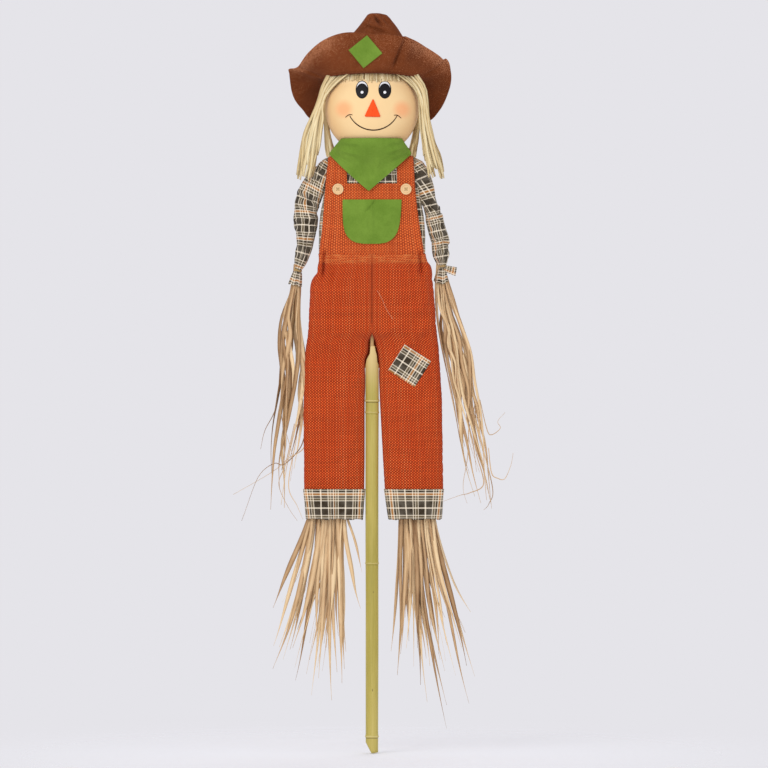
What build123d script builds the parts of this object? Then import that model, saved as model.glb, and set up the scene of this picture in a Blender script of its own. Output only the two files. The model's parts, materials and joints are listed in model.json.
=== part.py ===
"""Garden scarecrow on a two-part bamboo pole.

Millimetres. +Z is up and the figure faces -Y. Its own left side is +X.
The origin is on the pole's axis, where the foot of the pole leaves the lowest node.
"""

import math
import os

from build123d import *

# ---- pole and inner stick -------------------------------------------------
POLE_FOOT_R = 9.9
POLE_TIP_R = 9.5
POLE_LOW_R = 10.4
POLE_MID_R = 10.7
POLE_TOP_R = 10.9
NODE_RISE = 1.4
NODE_HEIGHT = 7.0
NODE_INSET = 1.0  # how far the ridge's section starts inside the culm
FOOT_LENGTH = 23.0
FOOT_SHANK = 6.0  # the round part of the foot, which a sleeve can hold
FOOT_POINT_X = -1.0
CUT_REACH = 40.0  # well past the pole
SCAR_R = 10.3
# the quill's two front edges, as (x, z) from the wide end up to the lip
QUILL_EDGES = (
    ((-10.9, 616.0), (-8.8, 626.0), (-2.6, 636.0), (-2.4, 648.0)),
    ((10.9, 617.0), (8.4, 622.0), (7.6, 635.0), (4.9, 648.0)),
)
QUILL_BACK_Z = 612.0  # how far down the slanted cut at the back of the top reaches
LOW_NODE_Z = 3.5
MID_NODE_Z = 289.0
TOP_NODE_Z = 538.0
SCAR_Z = 557.0
POLE_TOP_Z = 648.0
CAVITY_R = 5.5
CAVITY_END_GAP = 8.0
STICK_R = 3.2
STICK_CLEARANCE = 0.3
SOCKET_FLOOR_Z = 562.0
STICK_TOP_Z = 1062.0
BAR_Z = 938.0
BAR_HALF_LENGTH = 66.0
BAR_Y = 2 * STICK_R + 0.6  # the bar lies behind the stick
TIE_WIRE_R = 0.6
TIE_WIRE_GAP = 0.3
TIE_WIRE_CORNER_R = 2.5
TIE_ROOM = 8.0  # half the hollow left in the stuffing round the crossing

# ---- cloth layers ---------------------------------------------------------
GAP = 0.3
CLOTH = 1.6
SHIRT_CLOTH = 1.2
FELT = 1.4

# ---- torso: (height, half width, half depth) of the shirt -----------------
TORSO = [
    (785.0, 87.0, 25.0),
    (815.0, 86.0, 25.0),
    (850.0, 83.0, 25.0),
    (880.0, 80.0, 25.0),
    (915.0, 77.0, 25.0),
    (941.0, 73.0, 24.0),
    (958.0, 66.0, 21.0),
]
WAIST_Z = 797.0
BIB_TOP_Z = 913.0
STRAP_INNER_X = 40.4
POCKET_WIDTH = 98.0
POCKET_HEIGHT = 72.0
POCKET_CORNER_R = 30.0
POCKET_Z = 852.0
BUTTON_R = 9.0
BUTTON_THICKNESS = 3.0
BUTTON_RIM = 2.2
BUTTON_DISH = 0.7
BUTTON_HOLE_R = 0.9
BUTTON_HOLE_REACH = 2.3
BUTTON_X = 56.0
BUTTON_Z = 906.0
# half outline of the bib and straps, as (x, z), up past the shoulders
BIB_EDGE = [(86.0, WAIST_Z), (78.4, 855.0), (73.0, 910.0), (69.0, 967.0)]

# ---- trouser seat: (height, half width, half depth, centre y) --------------
SEAT = [
    (676.5, 108.0, 16.0, 5.0),
    (692.0, 106.0, 22.0, 3.0),
    (720.0, 103.0, 26.5, 1.0),
    (759.0, 99.0, 29.0, 0.0),
    (785.0, 95.0, 29.0, 0.0),
    (WAIST_Z - GAP, 90.0, 28.5, 0.0),
]

# the crotch round the pole's tip: half width, front and back y, and the heights of its lower ends
CROTCH_X = 12.8
CROTCH_FRONT_Y = -7.0
CROTCH_BACK_Y = 16.0
CROTCH_Z = 652.5
GUSSET_Z = 612.0

# ---- legs -----------------------------------------------------------------
HIP_Z = 664.0
LEG_Y = 5.0
LEG_HALF_DEPTH = 11.5
LEG_INNER_X = 13.6
CUFF_TOP_Z = 411.0
CUFF_BOTTOM_Z = 361.0
CUFF_HALF_DEPTH = 10.4
# inner and outer x at the hip, then at the hem, then at the cuff's mouth
LEG_X = {
    "left": (LEG_INNER_X, 111.0, 19.0, 115.0, 25.0, 111.5),
    "right": (LEG_INNER_X, 111.0, 14.0, 114.0, 16.5, 109.5),
}
PADDING_RISE = 7.0  # from the cuff's mouth to the padding's end
PATCH_WIDTH = 51.0
PATCH_HEIGHT = 50.0
PATCH_X = 62.0
PATCH_Z = 615.5
PATCH_TURN = -32.7
FOOT_NECK_R = 5.0
FOOT_NECK_INSET = 12.0

# ---- arms: (height, centre x, half width, half depth) ----------------------
SHOULDER_X = 87.0
SHOULDER_Z = 941.0
SHOULDER_R = 12.4
SLEEVE = {
    "left": [
        (941.0, 87.0, 13.0, 13.0),
        (905.0, 92.5, 13.5, 14.0),
        (882.0, 95.5, 14.0, 14.5),
        (855.0, 101.0, 15.5, 15.0),
        (830.0, 105.5, 17.0, 15.0),
        (812.0, 108.5, 17.5, 14.0),
        (797.0, 111.0, 14.5, 12.0),
        (790.0, 112.5, 8.0, 8.0),
        (787.0, 112.5, 8.0, 8.0),
    ],
    "right": [
        (941.0, 87.0, 13.0, 13.0),
        (917.0, 96.0, 16.0, 14.0),
        (897.0, 100.5, 18.0, 15.0),
        (870.0, 105.5, 19.5, 15.0),
        (840.0, 107.5, 19.0, 15.0),
        (815.0, 110.0, 17.0, 13.5),
        (797.0, 114.0, 14.0, 12.0),
        (781.0, 122.5, 8.0, 8.0),
        (778.0, 123.5, 8.0, 8.0),
    ],
}
WRIST = {"left": (112.5, 780.0), "right": (123.5, 771.0)}
WRIST_BALL_R = 5.0
WRIST_TIE_R = 9.7
THREAD_R = 0.8
RUFFLE_LENGTH = 26.0
RUFFLE_TOP_R = 6.5
RUFFLE_MOUTH_R = 10.5
RUFFLE_CLOTH = 1.0
# straw hands: (drop below the wrist, outward shift, half width, half depth)
HAND = {
    "left": [(0.0, 0.0, 4.9, 4.9), (28.0, 6.0, 8.6, 7.5), (80.0, 19.0, 18.0, 10.0),
             (170.0, 36.0, 21.0, 13.0), (260.0, 58.0, 20.0, 13.0), (335.0, 76.0, 14.0, 10.0),
             (390.0, 86.0, 9.0, 7.0)],
    "right": [(0.0, 0.0, 4.9, 4.9), (28.0, 2.5, 8.6, 7.5), (80.0, 10.0, 15.0, 10.0),
              (170.0, 14.0, 18.0, 13.0), (280.0, 15.5, 20.0, 14.0), (350.0, 14.0, 19.0, 12.0),
              (395.0, 12.0, 12.0, 8.0)],
}
# the widest single straw of each hand: (height, x)
STRAY = {"left": [(600.0, 176.0), (560.0, 192.0), (515.0, 222.0), (472.0, 232.0)],
         "right": [(560.0, 160.0), (500.0, 184.0), (440.0, 214.0), (403.0, 231.0)]}
STRAY_R = 1.2
# straw feet: (height, centre x, half width, half depth)
FOOT = {
    "left": [(361.0, 69.0, 36.0, 5.0), (320.0, 71.0, 38.0, 8.0), (230.0, 80.0, 46.0, 13.0),
             (145.0, 92.0, 55.0, 17.0), (80.0, 100.0, 45.0, 15.0)],
    "right": [(361.0, 63.0, 38.0, 5.0), (320.0, 68.0, 42.0, 8.0), (230.0, 84.0, 54.0, 13.0),
              (145.0, 98.0, 62.0, 17.0), (80.0, 100.0, 48.0, 15.0)],
}

# ---- head, hair and hat ---------------------------------------------------
HEAD_Z = 1040.0
HEAD_R = 77.0
HEAD_DEPTH = 0.81
FACE_CLOTH = 1.2
FRINGE_HALF_WIDTH = 46.0
FRINGE_LIFT = (0.5, 4.2)  # off the face cloth, under and over the straws
FRINGE_Z = (1083.5, 1096.0)
NOSE = [(-12.5, 1024.0), (14.5, 1023.0), (1.8, 1053.5)]
# hair: (height, centre x, half width, centre y, half depth)
HAIR = [
    (1086.0, 70.5, 13.0, -33.0, 5.0),
    (1040.0, 93.0, 11.5, -17.0, 6.0),
    (990.0, 96.0, 16.0, -26.0, 7.0),
    (950.0, 105.0, 16.0, -28.0, 7.0),
    (920.0, 112.0, 13.0, -29.0, 6.0),
]
BAND_Z = 1092.0
BAND_HALF_WIDTH = 79.0
BAND_HALF_DEPTH = 57.0
# crown: (height, centre x, half width, half depth)
CROWN = [(BAND_Z, 0.0, BAND_HALF_WIDTH, BAND_HALF_DEPTH), (1130.0, 3.0, 60.0, 48.0),
         (1162.0, 6.0, 38.0, 34.0), (1176.0, 7.5, 25.0, 23.0), (1189.0, 8.5, 16.0, 14.0),
         (1197.0, 9.0, 7.0, 6.0)]
# brim: (angle round from the front, slope above level, width), in degrees and millimetres
BRIM = [(0, 80, 71), (30, 72, 70), (50, 55, 66), (70, 26, 62), (90, 12, 60),
        (105, -15, 64), (120, -42, 72), (140, -60, 78), (180, -66, 80)]
BRIM_STEPS = 40
HAT_DIAMOND = [(-8.0, 1156.0), (17.0, 1127.0), (-14.0, 1103.0), (-38.5, 1132.0)]
BRIM_THICKNESS = 2.0
BRIM_GAP = 0.6
SCARF = [(900.0, 80.5, 29.0), (941.0, 77.0, 28.0), (958.0, 70.5, 30.0),
         (975.0, 66.0, 43.0), (991.0, 62.5, 52.5)]
SCARF_BAND_Z = (954.0, 968.0)
KITE = [(-50.0, 989.5), (-70.0, 967.0), (-70.0, 955.0), (-6.0, 904.0),
        (70.0, 955.0), (70.0, 967.0), (50.0, 989.5)]

SIDES = {"left": 1, "right": -1}
BIG = 400.0


def stadium(z, half_width, half_depth, x=0.0, y=0.0):
    """A flat-faced oval with round ends, level at height z."""
    return Pos(x, y, z) * SlotOverall(2 * half_width, 2 * half_depth)


def oval(z, half_width, half_depth, x=0.0, y=0.0):
    """An ellipse, level at height z."""
    return Pos(x, y, z) * Ellipse(half_width, half_depth)


def stack(sections):
    """A closed solid through a list of level sections."""
    return loft(sections, ruled=True)


def rod(radius, low, high):
    """An upright cylinder on the pole's axis."""
    return Pos(0, 0, (low + high) / 2) * Cylinder(radius, high - low)


def block(low, high):
    """A box between two corners."""
    size = [b - a for a, b in zip(low, high)]
    middle = [(a + b) / 2 for a, b in zip(low, high)]
    return Pos(*middle) * Box(*size)


def front_prism(points, depth_from, depth_to):
    """A front-view outline, given as (x, z), carried through a range of y."""
    face = make_face(Polyline(*[(x, depth_from, z) for x, z in points], close=True))
    return extrude(face, amount=depth_to - depth_from, dir=(0, 1, 0))


def stick_hole(low, high):
    """Clearance for the inner stick."""
    return rod(STICK_R + STICK_CLEARANCE, low, high)


# ---- pole -----------------------------------------------------------------
def node_ridge(z, radius):
    """The low rounded ring where two lengths of the culm meet."""
    half = NODE_HEIGHT / 2
    root = radius - NODE_INSET
    bow = ThreePointArc((root, 0, -half), (radius + NODE_RISE, 0, 0), (root, 0, half))
    inner = Line((root, 0, half), (root, 0, -half))
    return Pos(0, 0, z) * revolve(make_face([bow, inner]), Axis.Z)


def bamboo_pole():
    """The lower culm: hollow lengths between solid nodes, a socket on top, an oblique foot."""
    pole = rod(POLE_FOOT_R, -FOOT_SHANK, LOW_NODE_Z)
    tip = Cone(POLE_TIP_R, POLE_FOOT_R, FOOT_LENGTH - FOOT_SHANK)
    pole += Pos(0, 0, -(FOOT_LENGTH + FOOT_SHANK) / 2) * tip
    pole += rod(POLE_LOW_R, LOW_NODE_Z, MID_NODE_Z)
    pole += rod(POLE_MID_R, MID_NODE_Z, TOP_NODE_Z)
    pole += rod(POLE_TOP_R, TOP_NODE_Z, POLE_TOP_Z)
    for z, radius in ((LOW_NODE_Z, POLE_LOW_R), (MID_NODE_Z, POLE_MID_R),
                      (TOP_NODE_Z, POLE_TOP_R), (SCAR_Z, SCAR_R)):
        pole += node_ridge(z, radius)
    for low, high in ((LOW_NODE_Z, MID_NODE_Z), (MID_NODE_Z, TOP_NODE_Z)):
        pole -= rod(CAVITY_R, low + CAVITY_END_GAP, high - CAVITY_END_GAP)
    pole -= stick_hole(SOCKET_FLOOR_Z, POLE_TOP_Z + 1)
    # the foot is cut on a slant, from just below its round part
    foot_cut = [(-CUT_REACH, -FOOT_SHANK), (-POLE_FOOT_R, -FOOT_SHANK), (FOOT_POINT_X, -FOOT_LENGTH),
                (FOOT_POINT_X, -CUT_REACH), (-CUT_REACH, -CUT_REACH)]
    pole -= front_prism(foot_cut, -CUT_REACH, CUT_REACH)
    # the top is cut like a quill: slanted from behind, then narrowed from both sides
    behind = make_face(Polyline((0, -POLE_TOP_R, POLE_TOP_Z), (0, POLE_TOP_R + 1, QUILL_BACK_Z),
                                (0, CUT_REACH, QUILL_BACK_Z), (0, CUT_REACH, POLE_TOP_Z + CUT_REACH),
                                (0, -POLE_TOP_R, POLE_TOP_Z + CUT_REACH), close=True))
    pole -= extrude(behind, amount=CUT_REACH, dir=(1, 0, 0), both=True)
    for edge in QUILL_EDGES:
        outer = math.copysign(CUT_REACH, edge[0][0])
        above = POLE_TOP_Z + 2
        pole -= front_prism([(outer, edge[0][1]), *edge, (edge[-1][0], above), (outer, above)],
                            -CUT_REACH, CUT_REACH)
    return pole


# ---- stick frame ----------------------------------------------------------
def cross_rod(radius, half_length):
    """A level cylinder along the shoulder bar."""
    return Pos(0, BAR_Y, BAR_Z) * Rot(0, 90, 0) * Cylinder(radius, 2 * half_length)


def bar_tie_wire():
    """A wire loop round the crossing of the stick and the shoulder bar, on the diagonal."""
    reach = STICK_R * math.sqrt(2) + TIE_WIRE_R + TIE_WIRE_GAP
    depth = BAR_Y + 2 * (STICK_R + TIE_WIRE_R + TIE_WIRE_GAP)
    plane = Plane(origin=(0, BAR_Y / 2, BAR_Z), x_dir=(1, 0, 1), z_dir=(1, 0, -1))
    ring = plane * RectangleRounded(2 * reach, depth, TIE_WIRE_CORNER_R)
    path = ring.face().outer_wire()
    start = path.edges()[0]
    return sweep(Plane(start @ 0.5, z_dir=start % 0.5) * Circle(TIE_WIRE_R), path=path)


# ---- torso clothes --------------------------------------------------------
def torso(grow, low=None, high=None):
    """The torso's stack of sections, grown outwards, optionally with other end heights."""
    sections = [list(s) for s in TORSO]
    if low is not None:
        sections[0][0] = low
    if high is not None:
        sections[-1][0] = high
    return stack([stadium(z, w + grow, d + grow) for z, w, d in sections])


def torso_stuffing():
    low, high = TORSO[0][0] + 1, TORSO[-1][0] - SHIRT_CLOTH - GAP
    body = torso(-SHIRT_CLOTH - GAP, low=low, high=high)
    body -= stick_hole(low - 1, high + 1)
    body -= cross_rod(STICK_R + GAP, BAR_HALF_LENGTH + 1)
    room_low = (-TIE_ROOM, -TIE_ROOM, BAR_Z - TIE_ROOM)
    room_high = (TIE_ROOM, BAR_Y + TIE_ROOM, BAR_Z + TIE_ROOM)
    return body - block(room_low, room_high)


def shirt_body():
    shirt = torso(0) - torso(-SHIRT_CLOTH, low=TORSO[0][0] - 1, high=TORSO[-1][0] - SHIRT_CLOTH)
    return shirt - stick_hole(BAR_Z, TORSO[-1][0] + 1)


def overalls_bib():
    """Front bib, two straps over the shoulders and a matching back panel, above the waist seam."""
    skin = torso(GAP + CLOTH, high=TORSO[-1][0] + GAP + CLOTH) - torso(GAP, high=TORSO[-1][0] + GAP)
    outline = BIB_EDGE + [(-x, z) for x, z in reversed(BIB_EDGE)]
    panel = skin & front_prism(outline, -BIG, BIG)
    window = block((-STRAP_INNER_X, -BIG, BIB_TOP_Z), (STRAP_INNER_X, BIG, BIB_TOP_Z + BIG))
    return panel - window


def bib_pocket(front_y):
    """A flat felt pocket with rounded lower corners."""
    sketch = Sketch() + Rectangle(POCKET_WIDTH, POCKET_HEIGHT)
    sketch = fillet(sketch.vertices().group_by(Axis.Y)[0], POCKET_CORNER_R)
    plane = Plane(origin=(0, front_y, POCKET_Z), x_dir=(1, 0, 0), z_dir=(0, -1, 0))
    return extrude(plane * sketch, FELT)


def button(side, front_y):
    """A four-hole wooden button with a raised rim."""
    dish = Pos(0, 0, BUTTON_THICKNESS / 2) * Cylinder(BUTTON_R - BUTTON_RIM, 2 * BUTTON_DISH)
    disc = Cylinder(BUTTON_R, BUTTON_THICKNESS) - dish
    hole = Pos(BUTTON_HOLE_REACH, 0, 0) * Cylinder(BUTTON_HOLE_R, 2 * BUTTON_THICKNESS)
    for angle in (45, 135, 225, 315):
        disc -= Rot(0, 0, angle) * hole
    middle = (SIDES[side] * BUTTON_X, front_y - BUTTON_THICKNESS / 2, BUTTON_Z)
    return Plane(origin=middle, x_dir=(1, 0, 0), z_dir=(0, -1, 0)) * disc


# ---- trousers -------------------------------------------------------------
def seat(grow, low=None, high=None):
    sections = [list(s) for s in SEAT]
    if low is not None:
        sections[0][0] = low
    if high is not None:
        sections[-1][0] = high
    return stack([stadium(z, w + grow, d + grow, y=y) for z, w, d, y in sections])


def trousers_seat():
    """Hips of the trousers, with the crotch round the stick and a gusset behind the pole's tip."""
    cloth = seat(0) - seat(-CLOTH, low=SEAT[0][0] + CLOTH, high=SEAT[-1][0] + 1)
    crotch = block((-CROTCH_X, CROTCH_FRONT_Y, CROTCH_Z), (CROTCH_X, CROTCH_BACK_Y, SEAT[0][0] + 0.5))
    behind_pole = POLE_TOP_R + 3 * GAP
    gusset = block((-CROTCH_X, behind_pole, GUSSET_Z), (CROTCH_X, CROTCH_BACK_Y, CROTCH_Z + 0.5))
    return cloth + crotch + gusset - stick_hole(CROTCH_Z - 1, SEAT[1][0])


def seat_stuffing():
    low, high = SEAT[0][0] + CLOTH + GAP, TORSO[0][0] - 1.5
    body = seat(-CLOTH - GAP, low=low) & block((-BIG, -BIG, 0), (BIG, BIG, high))
    return body - stick_hole(low - 1, high + 1)


def leg_section(side, z, shrink, half_depth):
    """A level section of a leg at height z, straight-sided from hip to hem to cuff mouth."""
    hip_in, hip_out, hem_in, hem_out, mouth_in, mouth_out = LEG_X[side]
    if z >= CUFF_TOP_Z:
        t = (HIP_Z - z) / (HIP_Z - CUFF_TOP_Z)
        inner, outer = hip_in + t * (hem_in - hip_in), hip_out + t * (hem_out - hip_out)
    else:
        t = (CUFF_TOP_Z - z) / (CUFF_TOP_Z - CUFF_BOTTOM_Z)
        inner, outer = hem_in + t * (mouth_in - hem_in), hem_out + t * (mouth_out - hem_out)
    middle, half = (inner + outer) / 2, (outer - inner) / 2
    return stadium(z, half - shrink, half_depth - shrink, x=SIDES[side] * middle, y=LEG_Y)


def leg_solid(side, shrink, low, high):
    depth_low = LEG_HALF_DEPTH if low >= CUFF_TOP_Z else CUFF_HALF_DEPTH
    cuts = [(low, depth_low)]
    if low < CUFF_TOP_Z < high:
        cuts.append((CUFF_TOP_Z, LEG_HALF_DEPTH))
    cuts.append((high, LEG_HALF_DEPTH))
    return stack([leg_section(side, z, shrink, depth) for z, depth in cuts])


def trouser_leg(side):
    """A flat cloth tube, closed at the top by a round fold that turns in the hip seam."""
    hip_in, hip_out = LEG_X[side][:2]
    middle = SIDES[side] * (hip_in + hip_out) / 2
    tube = leg_solid(side, 0, CUFF_TOP_Z, HIP_Z)
    fold = Pos(middle, LEG_Y, HIP_Z) * Rot(0, 90, 0)
    fold *= Cylinder(LEG_HALF_DEPTH, hip_out - hip_in - 2)
    return tube + fold - leg_solid(side, CLOTH, CUFF_TOP_Z, HIP_Z - 3)


def leg_cuff(side):
    band = leg_solid(side, 0, CUFF_BOTTOM_Z, CUFF_TOP_Z - GAP)
    return band - leg_solid(side, CLOTH, CUFF_BOTTOM_Z - 0.01, CUFF_TOP_Z + 1)


def leg_padding(side):
    return leg_solid(side, CLOTH + GAP, CUFF_BOTTOM_Z + PADDING_RISE, HIP_Z - 4)


def knee_patch():
    """A square of plaid glued to the front of the left leg, set askew."""
    front = (PATCH_X, LEG_Y - LEG_HALF_DEPTH - GAP, PATCH_Z)
    plane = Plane(origin=front, x_dir=(1, 0, 0), z_dir=(0, -1, 0))
    return extrude(plane * Rot(0, 0, PATCH_TURN) * Rectangle(PATCH_WIDTH, PATCH_HEIGHT), FELT)


def straw_foot(side):
    body = stack([oval(z, w, d, x=SIDES[side] * x, y=LEG_Y) for z, x, w, d in FOOT[side]])
    _, x, w, _ = FOOT[side][0]
    neck = Pos(SIDES[side] * x, LEG_Y, CUFF_BOTTOM_Z) * Rot(0, 90, 0)
    return body + neck * Cylinder(FOOT_NECK_R, 2 * (w - FOOT_NECK_INSET))


# ---- arms -----------------------------------------------------------------
def sleeve_solid(side, shrink, skip_last=0):
    rows = SLEEVE[side][: len(SLEEVE[side]) - skip_last]
    return stack([oval(z, w - shrink, d - shrink, x=SIDES[side] * x) for z, x, w, d in rows])


def sleeve(side):
    """A padded sleeve with a round shoulder end that turns in the armhole."""
    centre = Pos(SIDES[side] * SHOULDER_X, 0, SHOULDER_Z)
    shoulder = centre * Sphere(SHOULDER_R)
    hollow = sleeve_solid(side, SHIRT_CLOTH, skip_last=2)
    return sleeve_solid(side, 0) + shoulder - hollow


def arm_padding(side):
    below_shoulder = block((-BIG, -BIG, 0), (BIG, BIG, SHOULDER_Z - 1))
    return sleeve_solid(side, SHIRT_CLOTH + GAP, skip_last=2) & below_shoulder


def wrist_tie(side):
    """A thread ring drawn round the neck of the sleeve."""
    (z_low, x_low, _, _), (z_high, x_high, _, _) = SLEEVE[side][-1], SLEEVE[side][-2]
    middle = Pos(SIDES[side] * (x_low + x_high) / 2, 0, (z_low + z_high) / 2)
    return middle * Torus(WRIST_TIE_R, THREAD_R)


def hand_section(side, row, grow):
    x, z = WRIST[side]
    drop, shift, w, d = row
    return oval(z - drop, w + grow, d + grow, x=SIDES[side] * (x + shift))


def straw_hand(side):
    x, z = WRIST[side]
    body = stack([hand_section(side, row, 0) for row in HAND[side]])
    return body + Pos(SIDES[side] * x, 0, z) * Sphere(WRIST_BALL_R)


def stray_straw(side):
    """One thin straw that stands out from the bundle."""
    return stack([oval(z, STRAY_R, STRAY_R, x=SIDES[side] * x) for z, x in STRAY[side]])


def sleeve_ruffle(side):
    """The free end of the sleeve below its tie, a short open cone round the straw."""
    x, z = WRIST[side]
    shift = HAND[side][1][1]
    rows = [(1.0, 0.0), (RUFFLE_LENGTH, shift * RUFFLE_LENGTH / HAND[side][1][0])]
    radii = [RUFFLE_TOP_R, RUFFLE_MOUTH_R]

    def cone(shrink, lengthen):
        return stack([
            oval(z - drop - (lengthen if i else -lengthen), r - shrink, r - shrink, x=SIDES[side] * (x + s))
            for i, ((drop, s), r) in enumerate(zip(rows, radii))
        ])

    return cone(0, 0) - cone(RUFFLE_CLOTH, 0.01)


# ---- head -----------------------------------------------------------------
def head(grow):
    ball = scale(Sphere(HEAD_R + grow), by=(1, HEAD_DEPTH, 1))
    return Pos(0, 0, HEAD_Z) * ball


def head_ball():
    return head(-FACE_CLOTH - GAP) - stick_hole(HEAD_Z - BIG, STICK_TOP_Z + 1)


def face_cover():
    return head(0) - head(-FACE_CLOTH) - stick_hole(HEAD_Z - BIG, HEAD_Z)


def nose():
    """A felt triangle that follows the curve of the face."""
    skin = head(GAP + FELT) - head(GAP)
    return skin & front_prism(NOSE, -BIG, 0)


def hair_lock(side):
    rows = [oval(z, w, d, x=SIDES[side] * x, y=y) for z, x, w, y, d in HAIR]
    return stack(rows)


def hair_fringe():
    band = head(FRINGE_LIFT[1]) - head(FRINGE_LIFT[0])
    return band & block((-FRINGE_HALF_WIDTH, -BIG, FRINGE_Z[0]), (FRINGE_HALF_WIDTH, -20, FRINGE_Z[1]))


# ---- hat ------------------------------------------------------------------
def hat_crown():
    outer = [oval(z, w, d, x=x) for z, x, w, d in CROWN]
    inner = [oval(z - 2, w - FELT, d - FELT, x=x) for z, x, w, d in CROWN]
    return stack(outer) - stack(inner)


def brim_row(angle):
    """Slope in radians and width of the brim at an angle from the front, eased between the table's rows."""
    turn = abs((angle + 180) % 360 - 180)
    for (a0, s0, w0), (a1, s1, w1) in zip(BRIM, BRIM[1:]):
        if a0 <= turn <= a1:
            t = (turn - a0) / (a1 - a0)
            return math.radians(s0 + t * (s1 - s0)), w0 + t * (w1 - w0)
    raise ValueError(turn)


def brim_point(angle, share, lift):
    """A point of the brim, at a share of its width, lifted square to its surface."""
    slope, width = brim_row(angle)
    a = math.radians(angle)
    x, y = (BAND_HALF_WIDTH + BRIM_GAP) * math.sin(a), -(BAND_HALF_DEPTH + BRIM_GAP) * math.cos(a)
    out = Vector(math.sin(a) / BAND_HALF_WIDTH, -math.cos(a) / BAND_HALF_DEPTH, 0).normalized()
    along = out * math.cos(slope) + Vector(0, 0, 1) * math.sin(slope)
    square = Vector(0, 0, 1) * math.cos(slope) - out * math.sin(slope)
    return Vector(x, y, BAND_Z) + along * (share * width) + square * lift


def brim_skin(upper, lower):
    """A closed skin of flat facets, between two lifts off the brim's upper surface."""
    angles = [360 * i / BRIM_STEPS for i in range(BRIM_STEPS)]
    rows = [[brim_point(a, share, lift) for a in angles] for share, lift in
            ((0, upper), (0.5, upper), (1, upper), (1, lower), (0.5, lower), (0, lower))]
    faces = []
    for row, following in zip(rows, rows[1:] + rows[:1]):
        for i in range(BRIM_STEPS):
            j = (i + 1) % BRIM_STEPS
            for corners in ((row[i], row[j], following[j]), (row[i], following[j], following[i])):
                faces.append(Face(Wire.make_polygon(corners, close=True)))
    return Solid(Shell(faces))


def hat_brim():
    """A wide soft brim, turned up in front and hanging behind."""
    return brim_skin(0, -BRIM_THICKNESS)


def hat_patch():
    """A felt diamond glued to the turned-up front of the brim, and following its curve."""
    glue_line = -BRIM_THICKNESS - 3 * GAP
    return brim_skin(glue_line, glue_line - FELT) & front_prism(HAT_DIAMOND, -BIG, 0)


def neck_scarf():
    """A felt neckerchief: a kite in front and a band round the back of the neck."""
    def skin(grow):
        return stack([stadium(z, w + grow, d + grow) for z, w, d in SCARF])

    shell = skin(FELT) - skin(0)
    kite = front_prism(KITE, -BIG, 0.01)
    band = block((-BIG, 0, SCARF_BAND_Z[0]), (BIG, BIG, SCARF_BAND_Z[1]))
    return (shell & kite) + (shell & band)


def neck_tie():
    return Pos(0, 0, TORSO[-1][0] + 2 * THREAD_R) * Torus(STICK_R + 1.5 * THREAD_R, THREAD_R)


def make_parts():
    """Every sub-part by its node name."""
    bib_front_y = -(TORSO[0][2] + GAP + CLOTH)
    parts = {
        "bamboo_pole": bamboo_pole(),
        "spine_stick": rod(STICK_R, SOCKET_FLOOR_Z + GAP, STICK_TOP_Z),
        "shoulder_bar": cross_rod(STICK_R, BAR_HALF_LENGTH),
        "bar_tie_wire": bar_tie_wire(),
        "neck_tie": neck_tie(),
        "torso_stuffing": torso_stuffing(),
        "shirt_body": shirt_body(),
        "overalls_bib": overalls_bib(),
        "bib_pocket": bib_pocket(bib_front_y - GAP),
        "trousers_seat": trousers_seat(),
        "seat_stuffing": seat_stuffing(),
        "neck_scarf": neck_scarf(),
        "head_ball": head_ball(),
        "face_cover": face_cover(),
        "nose": nose(),
        "hair_fringe": hair_fringe(),
        "hat_crown": hat_crown(),
        "hat_brim": hat_brim(),
        "hat_patch": hat_patch(),
        "knee_patch": knee_patch(),
    }
    for side in SIDES:
        parts[f"button_{side}"] = button(side, bib_front_y - GAP)
        parts[f"hair_{side}"] = hair_lock(side)
        parts[f"sleeve_{side}"] = sleeve(side)
        parts[f"arm_padding_{side}"] = arm_padding(side)
        parts[f"wrist_tie_{side}"] = wrist_tie(side)
        parts[f"sleeve_ruffle_{side}"] = sleeve_ruffle(side)
        parts[f"straw_hand_{side}"] = straw_hand(side)
        parts[f"stray_straw_{side}"] = stray_straw(side)
        parts[f"trouser_leg_{side}"] = trouser_leg(side)
        parts[f"leg_padding_{side}"] = leg_padding(side)
        parts[f"leg_cuff_{side}"] = leg_cuff(side)
        parts[f"straw_foot_{side}"] = straw_foot(side)
    return parts


def main():
    os.makedirs("parts", exist_ok=True)
    for name, shape in make_parts().items():
        export_step(shape, f"parts/{name}.step")


main()
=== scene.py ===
"""Looks of a garden scarecrow: cloth, felt, raffia and bamboo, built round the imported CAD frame.

Tables are in millimetres, outwards from the middle and up from the ground, unless they say that they
start at an anchor of the frame. Meshes are in metres.
Left and right are the figure's own: it faces -Y and its left side is +X.
"""

import json
import math
import random

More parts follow.
